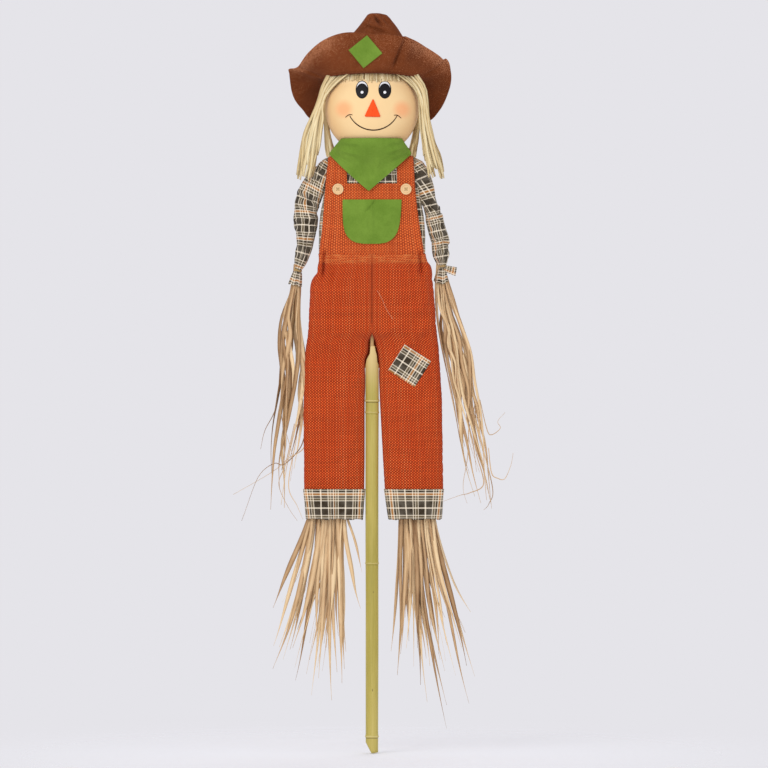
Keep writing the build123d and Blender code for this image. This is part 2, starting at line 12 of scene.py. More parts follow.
import bmesh
import bpy
import numpy as np
from mathutils import Vector, noise
from mathutils.bvhtree import BVHTree
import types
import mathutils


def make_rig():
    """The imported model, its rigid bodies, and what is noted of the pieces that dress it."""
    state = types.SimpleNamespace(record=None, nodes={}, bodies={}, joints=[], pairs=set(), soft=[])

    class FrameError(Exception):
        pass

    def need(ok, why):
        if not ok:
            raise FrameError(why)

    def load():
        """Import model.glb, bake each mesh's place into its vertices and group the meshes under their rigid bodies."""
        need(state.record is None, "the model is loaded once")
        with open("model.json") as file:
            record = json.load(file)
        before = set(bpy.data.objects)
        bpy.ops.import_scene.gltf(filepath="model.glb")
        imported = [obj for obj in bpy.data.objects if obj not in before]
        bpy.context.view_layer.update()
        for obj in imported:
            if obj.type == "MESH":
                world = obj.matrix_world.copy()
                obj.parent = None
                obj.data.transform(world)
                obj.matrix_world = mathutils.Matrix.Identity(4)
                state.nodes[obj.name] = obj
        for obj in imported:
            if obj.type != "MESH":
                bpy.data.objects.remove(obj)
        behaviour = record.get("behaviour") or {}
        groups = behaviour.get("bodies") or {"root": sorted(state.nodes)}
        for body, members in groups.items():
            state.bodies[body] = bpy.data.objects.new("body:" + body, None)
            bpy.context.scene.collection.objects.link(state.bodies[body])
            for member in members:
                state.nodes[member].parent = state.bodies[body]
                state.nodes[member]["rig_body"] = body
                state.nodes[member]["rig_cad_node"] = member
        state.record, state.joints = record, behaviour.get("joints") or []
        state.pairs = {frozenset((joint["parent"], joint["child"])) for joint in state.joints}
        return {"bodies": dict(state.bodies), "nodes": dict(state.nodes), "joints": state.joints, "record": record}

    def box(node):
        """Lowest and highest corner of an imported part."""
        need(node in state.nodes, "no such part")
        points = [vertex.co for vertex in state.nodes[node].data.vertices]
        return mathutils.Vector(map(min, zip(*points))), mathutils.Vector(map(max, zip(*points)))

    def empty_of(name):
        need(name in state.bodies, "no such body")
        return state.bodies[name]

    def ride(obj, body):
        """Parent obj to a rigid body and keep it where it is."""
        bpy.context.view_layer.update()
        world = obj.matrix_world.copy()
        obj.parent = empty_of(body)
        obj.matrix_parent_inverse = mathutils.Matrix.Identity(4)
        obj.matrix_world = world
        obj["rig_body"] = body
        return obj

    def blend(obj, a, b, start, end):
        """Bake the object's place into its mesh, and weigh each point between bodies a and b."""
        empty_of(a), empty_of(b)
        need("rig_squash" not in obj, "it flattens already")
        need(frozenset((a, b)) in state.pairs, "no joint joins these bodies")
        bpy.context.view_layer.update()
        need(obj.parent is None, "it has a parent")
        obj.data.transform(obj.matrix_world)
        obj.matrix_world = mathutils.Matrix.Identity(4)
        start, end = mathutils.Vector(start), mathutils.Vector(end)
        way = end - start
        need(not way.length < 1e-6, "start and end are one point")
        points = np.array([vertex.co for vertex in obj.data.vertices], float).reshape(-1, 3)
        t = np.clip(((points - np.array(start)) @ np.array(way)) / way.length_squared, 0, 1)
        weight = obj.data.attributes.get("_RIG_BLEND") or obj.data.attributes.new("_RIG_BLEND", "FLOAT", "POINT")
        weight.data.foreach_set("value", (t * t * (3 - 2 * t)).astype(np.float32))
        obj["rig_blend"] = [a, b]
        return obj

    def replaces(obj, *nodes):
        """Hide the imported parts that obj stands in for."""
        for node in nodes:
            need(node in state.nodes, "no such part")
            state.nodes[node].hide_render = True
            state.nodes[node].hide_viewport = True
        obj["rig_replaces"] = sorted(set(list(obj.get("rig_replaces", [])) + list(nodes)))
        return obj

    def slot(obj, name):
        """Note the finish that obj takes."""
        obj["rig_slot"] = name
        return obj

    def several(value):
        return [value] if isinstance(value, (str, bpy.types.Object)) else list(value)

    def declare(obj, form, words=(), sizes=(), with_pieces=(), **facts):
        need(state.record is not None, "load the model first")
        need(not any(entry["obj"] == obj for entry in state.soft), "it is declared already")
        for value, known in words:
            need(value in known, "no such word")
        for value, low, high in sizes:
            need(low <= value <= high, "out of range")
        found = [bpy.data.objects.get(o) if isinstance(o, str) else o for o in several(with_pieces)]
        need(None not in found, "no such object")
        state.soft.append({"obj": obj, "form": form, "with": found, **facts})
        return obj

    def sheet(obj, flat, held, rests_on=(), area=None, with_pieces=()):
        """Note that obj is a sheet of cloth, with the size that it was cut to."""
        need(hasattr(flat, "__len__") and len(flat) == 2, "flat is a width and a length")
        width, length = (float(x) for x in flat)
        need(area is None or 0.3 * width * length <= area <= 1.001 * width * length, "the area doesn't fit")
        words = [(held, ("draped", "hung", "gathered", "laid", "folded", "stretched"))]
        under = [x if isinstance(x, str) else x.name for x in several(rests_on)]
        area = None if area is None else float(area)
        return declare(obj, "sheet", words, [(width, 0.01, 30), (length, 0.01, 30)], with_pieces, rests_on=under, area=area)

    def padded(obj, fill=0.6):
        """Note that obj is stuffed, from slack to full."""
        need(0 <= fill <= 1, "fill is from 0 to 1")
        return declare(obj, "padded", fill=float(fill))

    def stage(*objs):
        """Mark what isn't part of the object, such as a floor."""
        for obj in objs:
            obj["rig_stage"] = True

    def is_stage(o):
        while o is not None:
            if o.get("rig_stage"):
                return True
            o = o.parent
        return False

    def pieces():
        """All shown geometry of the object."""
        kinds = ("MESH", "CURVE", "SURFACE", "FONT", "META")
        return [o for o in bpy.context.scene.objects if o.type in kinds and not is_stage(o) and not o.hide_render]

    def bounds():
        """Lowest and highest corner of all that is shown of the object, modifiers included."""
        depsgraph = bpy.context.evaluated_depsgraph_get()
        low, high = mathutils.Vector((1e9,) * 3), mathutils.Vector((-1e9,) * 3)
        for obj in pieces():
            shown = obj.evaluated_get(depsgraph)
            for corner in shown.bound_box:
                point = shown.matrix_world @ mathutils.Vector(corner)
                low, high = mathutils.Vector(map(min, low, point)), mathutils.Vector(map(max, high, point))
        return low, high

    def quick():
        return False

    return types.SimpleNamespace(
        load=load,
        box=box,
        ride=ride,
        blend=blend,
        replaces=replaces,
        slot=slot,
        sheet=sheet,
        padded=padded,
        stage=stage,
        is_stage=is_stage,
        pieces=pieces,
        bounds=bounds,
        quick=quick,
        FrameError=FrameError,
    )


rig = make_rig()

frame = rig.load()
cad_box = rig.bounds()

MM = 0.001
SIDES = {"left": 1, "right": -1}
JOINTS = {j["name"]: j for j in frame["joints"]}


def low(node, axis):
    """A CAD node's lowest coordinate along an axis, in millimetres."""
    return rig.box(node)[0]["xyz".index(axis)] / MM


def high(node, axis):
    """A CAD node's highest coordinate along an axis, in millimetres."""
    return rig.box(node)[1]["xyz".index(axis)] / MM


def pivot(joint):
    """A hinge's centre, in millimetres."""
    return np.array(JOINTS[joint]["pos_m"]) / MM


# ---- anchors from the frame -------------------------------------------------
WAIST = low("overalls_bib", "z")
LEG_Y = pivot("hip_left")[1]
HEM = high("leg_cuff_left", "z")
CUFF_END = low("leg_cuff_left", "z")
HEAD_R = high("face_cover", "x")
HEAD_Z = high("face_cover", "z") - HEAD_R
HEAD_DEPTH = high("face_cover", "y") / HEAD_R
BAND_Z = low("hat_crown", "z")
BAND_W = high("hat_crown", "x")
BAND_D = high("hat_crown", "y")
POLE_TOP = high("bamboo_pole", "z")
POLE_END = low("bamboo_pole", "z")
STICK_R = high("spine_stick", "x")


# ---- small numeric tools ----------------------------------------------------
class Rows:
    """Rows of values against a key, read back along a smooth curve through them."""

    def __init__(self, rows):
        table = np.array(sorted(tuple(row) for row in rows), float)
        self.key, self.value = table[:, 0], table[:, 1:]
        self.slope = np.gradient(self.value, self.key, axis=0)

    def __call__(self, at):
        at = np.clip(np.asarray(at, float), self.key[0], self.key[-1])
        i = np.clip(np.searchsorted(self.key, at) - 1, 0, len(self.key) - 2)
        step = (self.key[i + 1] - self.key[i])[..., None]
        t = ((at - self.key[i])[..., None]) / step
        a, b = self.value[i], self.value[i + 1]
        sa, sb = self.slope[i] * step, self.slope[i + 1] * step
        return (a * (1 + 2 * t) * (1 - t) ** 2 + sa * t * (1 - t) ** 2
                + b * t * t * (3 - 2 * t) + sb * t * t * (t - 1))


def smooth(x, start, end):
    """0 before start, 1 after end, and eased between them."""
    t = np.clip((np.asarray(x, float) - start) / (end - start), 0, 1)
    return t * t * (3 - 2 * t)


def bump(x, middle, width):
    """A bell of height 1."""
    return np.exp(-((np.asarray(x, float) - middle) / width) ** 2)


def rough(points, size, seed):
    """Smooth noise from -1 to 1 at each point, with features of about the given size in millimetres."""
    flat = np.asarray(points, float).reshape(-1, 3)
    shift = Vector((seed * 17.3, seed * 5.1, seed * 9.7))
    found = [noise.noise(Vector(p) / size + shift) for p in flat]
    return np.array(found).reshape(np.shape(points)[:-1])


def flat_oval(s, exponent):
    """Height of a rounded box outline at a share s of its half width."""
    return np.clip(1 - np.abs(s) ** exponent, 0, 1) ** (1 / exponent)


# ---- mesh tools -------------------------------------------------------------
def mesh_object(name, points, faces, uv=None, tint=None):
    """A smooth mesh from points in millimetres. uv holds a pair for each corner of each face."""
    mesh = bpy.data.meshes.new(name)
    mesh.from_pydata((np.asarray(points, float).reshape(-1, 3) * MM).tolist(), [], faces)
    if uv is not None:
        layer = mesh.uv_layers.new(name="UVMap")
        layer.data.foreach_set("uv", np.asarray(uv, float).ravel())
    if tint is not None:
        data = mesh.attributes.new("tint", "FLOAT", "POINT").data
        data.foreach_set("value", np.asarray(tint, np.float32).ravel())
    mesh.polygons.foreach_set("use_smooth", [True] * len(mesh.polygons))
    mesh.update()
    obj = bpy.data.objects.new(name, mesh)
    bpy.context.scene.collection.objects.link(obj)
    return obj


def grid(name, points, uv, wrap=False, keep=None, tint=None):
    """A sheet through rows of points, closed into a tube if wrap is set. keep says which cells stay."""
    points, uv = np.asarray(points, float), np.asarray(uv, float)
    rows, cols = points.shape[:2]
    faces, corners = [], []
    for r in range(rows - 1):
        for c in range(cols if wrap else cols - 1):
            if keep is not None and not keep[r, c]:
                continue
            d = (c + 1) % cols
            faces.append((r * cols + c, r * cols + d, (r + 1) * cols + d, (r + 1) * cols + c))
            corners += [uv[r, c], uv[r, c + 1], uv[r + 1, c + 1], uv[r + 1, c]]
    return mesh_object(name, points, faces, corners, tint)


def rework(obj, change):
    """Runs a change on an open copy of a mesh and puts the result back."""
    work = bmesh.new()
    work.from_mesh(obj.data)
    work.verts.ensure_lookup_table()
    change(work)
    work.to_mesh(obj.data)
    work.free()


def drop_loose(obj):
    """Removes points that no face uses."""
    rework(obj, lambda work: bmesh.ops.delete(
        work, geom=[vertex for vertex in work.verts if not vertex.link_faces], context="VERTS"))


def cap_ends(obj, columns, rows):
    """Closes a tube's first and last rings."""
    def close(work):
        work.faces.new([work.verts[i] for i in reversed(range(columns))])
        work.faces.new([work.verts[(rows - 1) * columns + i] for i in range(columns)])
    rework(obj, close)


def thicken(obj, thickness, outward=0.0):
    """Gives a sheet its thickness in millimetres, outwards if outward is 1 and inwards if it is -1."""
    solid = obj.modifiers.new("thickness", "SOLIDIFY")
    solid.thickness = thickness * MM
    solid.offset = outward
    solid.use_even_offset = False


def subdivide(obj, levels=1):
    smoother = obj.modifiers.new("round", "SUBSURF")
    smoother.levels = smoother.render_levels = levels


def arc_lengths(points):
    """Distance along each row's points and along each column's points, in metres."""
    points = np.asarray(points, float) * MM
    across = np.linalg.norm(np.diff(points, axis=1), axis=2)
    down = np.linalg.norm(np.diff(points, axis=0), axis=2)
    u = np.concatenate([np.zeros((points.shape[0], 1)), np.cumsum(across, axis=1)], axis=1)
    v = np.concatenate([np.zeros((1, points.shape[1])), np.cumsum(down, axis=0)], axis=0)
    return u, v


def cloth_uv(points, closed=False):
    """Flat coordinates of a sheet in metres, so that a weave keeps its real scale on it."""
    if closed:
        points = np.concatenate([points, points[:, :1]], axis=1)
    u, v = arc_lengths(points)
    middle = u.shape[0] // 2
    u = np.broadcast_to(u[middle], u.shape)
    v = np.broadcast_to(v.mean(axis=1, keepdims=True), v.shape)
    return np.stack([u, -v], axis=2)


# ---- material tools ---------------------------------------------------------
class Paint:
    """A material and short ways to add nodes to it."""

    def __init__(self, name, roughness=0.85, sheen=0.0, specular=0.3):
        self.material = bpy.data.materials.new(name)
        self.material.use_nodes = True
        self.tree = self.material.node_tree
        self.shader = self.tree.nodes["Principled BSDF"]
        self.shader.inputs["Roughness"].default_value = roughness
        self.shader.inputs["Sheen Weight"].default_value = sheen
        self.shader.inputs["Specular IOR Level"].default_value = specular

    def add(self, kind, settings=None, **inputs):
        node = self.tree.nodes.new(kind)
        for key, value in (settings or {}).items():
            setattr(node, key, value)
        for key, value in inputs.items():
            self.feed(node.inputs[int(key[1:]) if key[0] == "i" and key[1:].isdigit() else key], value)
        return node

    def feed(self, socket, value):
        if isinstance(value, bpy.types.NodeSocket):
            self.tree.links.new(value, socket)
        else:
            socket.default_value = value

    def math(self, operation, a, b=0.0, c=0.0):
        node = self.add("ShaderNodeMath", {"operation": operation}, i0=a, i1=b, i2=c)
        return node.outputs[0]

    def mix(self, share, a, b, blend="MIX"):
        settings = {"data_type": "RGBA", "blend_type": blend}
        return self.add("ShaderNodeMix", settings, i0=share, i6=a, i7=b).outputs[2]

    def ramp(self, share, stops, interpolation="LINEAR"):
        node = self.add("ShaderNodeValToRGB", Fac=share)
        band = node.color_ramp
        band.interpolation = interpolation
        while len(band.elements) < len(stops):
            band.elements.new(1.0)
        for element, (place, colour) in zip(band.elements, stops):
            element.position, element.color = place, colour
        return node.outputs[0]

    def range(self, value, low_in, high_in, low_out=0.0, high_out=1.0):
        node = self.add("ShaderNodeMapRange", {"interpolation_type": "SMOOTHSTEP"}, i0=value, i1=low_in,
                        i2=high_in, i3=low_out, i4=high_out)
        return node.outputs[0]

    def noise(self, vector, scale, detail=2.0, roughness=0.5):
        node = self.add("ShaderNodeTexNoise", Vector=vector, Scale=scale, Detail=detail,
                        Roughness=roughness)
        return node.outputs[0]

    def random(self, number):
        return self.add("ShaderNodeTexWhiteNoise", {"noise_dimensions": "1D"}, W=number).outputs[0]

    def place(self, which="Object"):
        return self.add("ShaderNodeTexCoord").outputs[which]

    def stretch(self, vector, scale):
        return self.add("ShaderNodeMapping", Vector=vector, Scale=scale).outputs[0]

    def split(self, vector):
        node = self.add("ShaderNodeSeparateXYZ", Vector=vector)
        return node.outputs[0], node.outputs[1], node.outputs[2]

    def attribute(self, name):
        return self.add("ShaderNodeAttribute", {"attribute_name": name}).outputs["Fac"]

    def colour(self, socket):
        self.feed(self.shader.inputs["Base Color"], socket)

    def relief(self, height, distance, strength=1.0):
        node = self.add("ShaderNodeBump", Height=height, Distance=distance * MM, Strength=strength)
        self.feed(self.shader.inputs["Normal"], node.outputs[0])


def rgb(red, green, blue):
    """A colour given in display values from 0 to 255."""
    def linear(c):
        c /= 255
        return c / 12.92 if c <= 0.04045 else ((c + 0.055) / 1.055) ** 2.4
    return linear(red), linear(green), linear(blue), 1.0


def shade(paint, share, dark, pale):
    return paint.ramp(share, [(0.0, dark), (1.0, pale)])


def weave(paint, across, along, pitch_across, pitch_along):
    """A plain weave: its height, which thread is on top, and a number for each thread both ways."""
    slow = paint.noise(paint.place("UV"), 9.0)
    wander = paint.math("MULTIPLY", paint.math("SUBTRACT", slow, 0.5), 2.2)
    x = paint.math("ADD", paint.math("DIVIDE", across, pitch_across * MM), wander)
    y = paint.math("ADD", paint.math("DIVIDE", along, pitch_along * MM), wander)
    column, line = paint.math("FLOOR", x), paint.math("FLOOR", y)
    over_x = paint.math("SINE", paint.math("MULTIPLY", paint.math("FRACT", x), math.pi))
    over_y = paint.math("SINE", paint.math("MULTIPLY", paint.math("FRACT", y), math.pi))
    top = paint.math("FLOORED_MODULO", paint.math("ADD", column, line), 2.0)
    warp = paint.math("MULTIPLY", over_x, paint.math("MULTIPLY_ADD", over_y, 0.6, 0.4))
    weft = paint.math("MULTIPLY", over_y, paint.math("MULTIPLY_ADD", over_x, 0.6, 0.4))
    height = paint.add("ShaderNodeMix", {"data_type": "FLOAT"}, i0=top, i2=weft, i3=warp).outputs[0]
    return height, top, paint.random(column), paint.random(paint.math("ADD", line, 500.5))


# the check's yarns: width and colour
STRIPES = ((3.0, "ochre"), (1.6, "cream"), (3.0, "dark"), (0.9, "cream"), (3.2, "umber"),
           (1.2, "cream"), (10.4, "dark"), (2.2, "cream"), (10.4, "dark"), (1.2, "cream"),
           (3.2, "umber"), (0.9, "cream"), (3.0, "dark"), (1.6, "cream"))
CHECK = {"dark": rgb(52, 42, 28), "umber": rgb(112, 98, 72), "cream": rgb(242, 228, 204),
         "ochre": rgb(192, 128, 58)}
REPEAT = sum(width for width, _ in STRIPES)
YARN = 0.5
BURLAP_PITCH = (2.57, 2.18)


def check_colour(paint, across, along):
    """The shirt cloth's check: the same stripes both ways, with the paler yarn showing more."""
    def stripes(at, shift):
        place, stops = 0.0, []
        for width, name in STRIPES:
            stops.append((place / REPEAT, CHECK[name]))
            place += width
        turns = paint.math("ADD", paint.math("DIVIDE", at, REPEAT * MM), shift)
        return paint.ramp(paint.math("FRACT", turns), stops, "CONSTANT")
    column, line = (paint.math("FLOOR", paint.math("DIVIDE", at, YARN * MM)) for at in (across, along))
    fine = paint.math("FLOORED_MODULO", paint.math("ADD", column, line), 2.0)
    share = paint.math("MULTIPLY_ADD", fine, 0.3, 0.35)
    warp, weft = stripes(across, 0.13), stripes(along, 0.37)
    return paint.mix(0.3, paint.mix(share, warp, weft), paint.mix(1.0, warp, weft, "LIGHTEN"))


def plaid_cloth():
    paint = Paint("plaid_cotton", 0.9, sheen=0.05, specular=0.2)
    across, along, _ = paint.split(paint.place("UV"))
    height, *_ = weave(paint, across, along, 0.55, 0.55)
    worn = paint.noise(paint.place(), 60.0, 3.0)
    colour = paint.mix(paint.range(worn, 0.3, 0.75, 0.0, 0.1), check_colour(paint, across, along),
                       rgb(225, 215, 195))
    paint.colour(colour)
    paint.relief(height, 0.12, 0.5)
    return paint.material


def burlap(name, band=None, show_through=0.0):
    """Orange jute. band is a faded strip, as two distances in metres down the cloth."""
    paint = Paint(name, 0.9, sheen=0.04, specular=0.15)
    across, along, _ = paint.split(paint.place("UV"))
    height, top, column, line = weave(paint, across, along, *BURLAP_PITCH)
    thread = paint.add("ShaderNodeMix", {"data_type": "FLOAT"}, i0=top, i2=line, i3=column).outputs[0]
    fibre = paint.noise(paint.place("UV"), 900.0, 2.0)
    share = paint.math("ADD", paint.math("MULTIPLY", fibre, 0.3),
                       paint.math("ADD", paint.math("MULTIPLY", thread, 0.16),
                                  paint.math("MULTIPLY", top, 0.5)))
    body = paint.ramp(share, [(0.1, rgb(150, 30, 4)), (0.4, rgb(212, 65, 19)),
                               (0.75, rgb(254, 118, 50)), (0.95, rgb(255, 170, 106))])
    patchy = paint.noise(paint.place("UV"), 14.0, 3.0)
    body = paint.mix(paint.range(patchy, 0.35, 0.7, 0.0, 0.2), body, rgb(206, 64, 20))
    # painted shade: the weave's hollows between threads take a dark colour; on the bib it is partly the shirt's check
    # seen through them
    shaded_gap = paint.range(height, 0.2, 0.66)
    under = rgb(120, 34, 14)
    if show_through:
        seen = paint.mix(1.0, check_colour(paint, across, along), rgb(255, 150, 92), "MULTIPLY")
        under = paint.mix(show_through, rgb(150, 48, 20), seen)
        body = paint.mix(show_through * 0.35, paint.mix(0.16, body, rgb(238, 152, 84)), seen)
    colour = paint.mix(shaded_gap, under, body)
    if band:
        start, end = band
        above_end = paint.range(along, end - 0.004, end + 0.004)
        inside = paint.math("MULTIPLY", above_end, paint.range(along, start, start - 0.002))
        streak = paint.noise(paint.stretch(paint.place("UV"), (0.06, 1.0, 1.0)), 620.0, 2.0)
        worn = paint.math("MULTIPLY", paint.range(patchy, 0.4, 0.55),
                          paint.range(streak, 0.48, 0.6, 0.12, 0.6))
        colour = paint.mix(paint.math("MULTIPLY", inside, worn), colour, rgb(232, 142, 78))
    paint.colour(colour)
    paint.relief(height, 0.8, 1.0)
    return paint.material


def felt(name, dark, pale, fleck=None):
    paint = Paint(name, 0.95, sheen=0.02, specular=0.08)
    where = paint.place()
    fibre = paint.noise(where, 420.0, 4.0, 0.7)
    cloud = paint.range(paint.noise(where, 22.0, 4.0, 0.6), 0.3, 0.7)
    share = paint.math("MULTIPLY_ADD", fibre, 0.6, paint.math("MULTIPLY", cloud, 0.4))
    colour = shade(paint, share, dark, pale)
    if fleck:
        # pale fibre flecks, crowded on the brim's front and outer part as painted sheen
        sheen_place = paint.attribute("tint")
        speck = paint.noise(where, 1100.0, 2.0, 0.8)
        edge = paint.math("MULTIPLY_ADD", sheen_place, -0.13, 0.66)
        amount = paint.math("MULTIPLY", paint.math("GREATER_THAN", speck, edge), 0.8)
        colour = paint.mix(amount, colour, fleck)
    paint.colour(colour)
    paint.relief(fibre, 0.35, 0.5)
    return paint.material


def raffia(name, dark, middle, pale):
    paint = Paint(name, 0.62, sheen=0.1, specular=0.35)
    uv = paint.place("UV")
    streak = paint.noise(paint.stretch(uv, (1.0, 0.03, 1.0)), 2600.0, 3.0)
    blotch = paint.noise(paint.stretch(uv, (1.0, 0.6, 1.0)), 45.0, 2.0)
    # tint holds each straw's own tone, with painted shade along its edges and on the deeper hair layers
    tint = paint.attribute("tint")
    share = paint.math("ADD", paint.math("MULTIPLY", streak, 0.35),
                       paint.math("ADD", paint.math("MULTIPLY", tint, 0.5),
                                  paint.math("MULTIPLY", blotch, 0.3)))
    paint.colour(paint.ramp(share, [(0.25, dark), (0.55, middle), (0.85, pale)]))
    paint.relief(streak, 0.12, 0.7)
    return paint.material


def wood(name, dark, pale, along=2):
    paint = Paint(name, 0.6, specular=0.35)
    scale = [1.0, 1.0, 1.0]
    scale[along] = 0.06
    grain = paint.noise(paint.stretch(paint.place(), scale), 1400.0, 3.0)
    paint.colour(shade(paint, grain, dark, pale))
    paint.relief(grain, 0.1, 0.5)
    return paint.material


def bamboo_skin():
    paint = Paint("bamboo", 0.42, specular=0.45)
    where = paint.place()
    _, _, height = paint.split(where)
    fibre = paint.noise(paint.stretch(where, (1.0, 1.0, 0.02)), 1500.0, 3.0)
    patch = paint.noise(paint.stretch(where, (1.0, 1.0, 0.12)), 40.0, 3.0)
    green = paint.ramp(paint.math("MULTIPLY_ADD", fibre, 0.35, paint.math("MULTIPLY", patch, 0.65)),
                       [(0.25, rgb(146, 134, 46)), (0.5, rgb(176, 160, 74)),
                        (0.75, rgb(198, 180, 104))])
    aged = paint.mix(paint.range(height, 0.56, 0.645, 0.0, 0.8), green, rgb(214, 186, 130))
    tint = paint.attribute("tint")
    ringed = paint.mix(paint.range(tint, 0.5, 1.0, 0.0, 0.8), aged, rgb(206, 190, 128))
    worn = paint.mix(paint.range(tint, -0.5, -1.0, 0.0, 0.85), ringed, rgb(92, 74, 34))
    paint.colour(worn)
    paint.relief(fibre, 0.15, 0.4)
    return paint.material


def skin_cloth():
    """Head cloth with rosy cheeks, with painted shade deepening it towards its rim and painted light making the brow
    paler.
    """
    paint = Paint("face_cloth", 0.8, sheen=0.15, specular=0.25)
    where = paint.place()
    x, y, z = paint.split(where)
    knit = paint.noise(where, 1300.0, 2.0)
    cloud = paint.noise(where, 18.0, 2.0)
    colour = shade(paint, paint.math("MULTIPLY_ADD", knit, 0.25, paint.math("MULTIPLY", cloud, 0.75)),
                   rgb(230, 194, 140), rgb(236, 205, 154))
    # painted shade: darker tan towards the edge of the face, below the brow
    above = paint.math("POWER", paint.math("SUBTRACT", z, HEAD_Z * MM), 2.0)
    from_middle = paint.math("SQRT", paint.math("ADD", paint.math("MULTIPLY", x, x), above))
    below_brow = paint.range(z, (HEAD_Z + 62) * MM, (HEAD_Z + 30) * MM)
    rim = paint.math("MULTIPLY", paint.range(from_middle, 0.046, 0.079, 0.0, 0.6), below_brow)
    colour = paint.mix(rim, colour, rgb(222, 172, 112))
    # painted light: a paler band over the brow, where the brim's shadow falls
    brow = paint.range(z, (HEAD_Z + 34) * MM, (HEAD_Z + 58) * MM, 0.0, 0.9)
    colour = paint.mix(brow, colour, rgb(252, 232, 190))
    front = paint.range(y, 0.0, -0.02)
    for cheek_x, cheek_z in CHEEKS:
        dx = paint.math("SUBTRACT", x, cheek_x * MM)
        dz = paint.math("SUBTRACT", z, cheek_z * MM)
        square = paint.math("ADD", paint.math("MULTIPLY", dx, dx), paint.math("MULTIPLY", dz, dz))
        away = paint.math("SQRT", square)
        rosy = paint.range(away, CHEEK_R * 1.2 * MM, 0.25 * CHEEK_R * MM, 0.0, 0.6)
        colour = paint.mix(paint.math("MULTIPLY", rosy, front), colour, rgb(240, 152, 98))
    paint.colour(colour)
    paint.relief(knit, 0.1, 0.35)
    return paint.material


def print_ink(name, colour, roughness=0.55):
    paint = Paint(name, roughness, specular=0.12)
    speck = paint.noise(paint.place(), 900.0, 2.0)
    darker = tuple(0.82 * c for c in colour[:3]) + (1.0,)
    paint.colour(shade(paint, speck, darker, colour))
    paint.relief(speck, 0.05, 0.3)
    return paint.material


FACE_X = 2.4
CHEEKS = ((FACE_X - 48.4, HEAD_Z - 3.5), (FACE_X + 47.1, HEAD_Z - 4.0))
CHEEK_R = 16.5

MATERIALS = {
    "plaid": plaid_cloth(),
    "burlap": burlap("orange_burlap"),
    "burlap_bib": burlap("orange_burlap_bib", show_through=0.22),
    "burlap_waist": burlap("orange_burlap_waist", band=(0.0, -0.016)),
    "green_felt": felt("green_felt", rgb(84, 115, 34), rgb(121, 151, 60)),
    "orange_felt": felt("orange_felt", rgb(222, 62, 22), rgb(250, 96, 44)),
    "brown_felt": felt("brown_felt", rgb(86, 40, 17), rgb(126, 66, 34), fleck=rgb(214, 148, 108)),
    "hair": raffia("pale_raffia", rgb(132, 100, 56), rgb(206, 182, 132), rgb(236, 222, 182)),
    "straw": raffia("raffia", rgb(138, 100, 62), rgb(202, 166, 122), rgb(234, 206, 162)),
    "stick_wood": wood("stick_wood", rgb(176, 138, 86), rgb(214, 182, 128)),
    "button_wood": wood("button_wood", rgb(202, 162, 112), rgb(232, 200, 152), along=0),
    "bamboo": bamboo_skin(),
    "face_cloth": skin_cloth(),
    "black_ink": print_ink("black_ink", rgb(26, 25, 27), 0.45),
    "white_ink": print_ink("white_ink", rgb(238, 238, 240)),
    "brown_ink": print_ink("brown_ink", rgb(52, 30, 18)),
    "thread": print_ink("cotton_thread", rgb(186, 156, 104), 0.85),
    "loose_thread": print_ink("loose_thread", rgb(232, 166, 128), 0.85),
    "stuffing": print_ink("fibre_filling", rgb(236, 232, 222), 0.95),
    "steel": print_ink("tie_wire", rgb(120, 120, 122), 0.4),
    "foam": print_ink("foam", rgb(240, 236, 226), 0.9),
}


def shift_check(obj, across, along):
    """Moves a piece's cloth pattern by some millimetres."""
    for corner in obj.data.uv_layers[0].data:
        corner.uv += Vector((across * MM, along * MM))


def dress(obj, material, slot, body=None, replaces=()):
    """Gives a piece its material, its slot, its body and the CAD nodes it stands for."""
    obj.data.materials.clear()
    obj.data.materials.append(MATERIALS[material])
    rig.slot(obj, slot)
    if body:
        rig.ride(obj, body)
    if replaces:
        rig.replaces(obj, *replaces)
    return obj


def declare_sheet(obj, width, length, held, rests_on, with_pieces=()):
    """Declares a sheet by the size it was cut to, in metres, and by the area of its own outline."""
    area = sum(face.area for face in obj.data.polygons)
    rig.sheet(obj, flat=(width, length), held=held, rests_on=rests_on, with_pieces=with_pieces,
             area=min(area, width * length))


# ---- bamboo pole ------------------------------------------------------------
# the culm's nodes: height and size
CULM_NODES = ((POLE_END + 26.5, 1.0), (289.0, 0.8), (538.0, 0.8), (557.0, 1.1))
CULM_RADIUS = Rows([(POLE_END, 10.2), (0, 10.3), (20, 10.3), (150, 10.5), (280, 10.6), (300, 10.7),
                    (420, 10.8), (530, 10.9), (570, 11.0), (POLE_TOP, 11.0)])
# lengths over which the rings lean from level to the slant of each cut
FOOT_CUT, QUILL_CUT = 26.0, 80.0


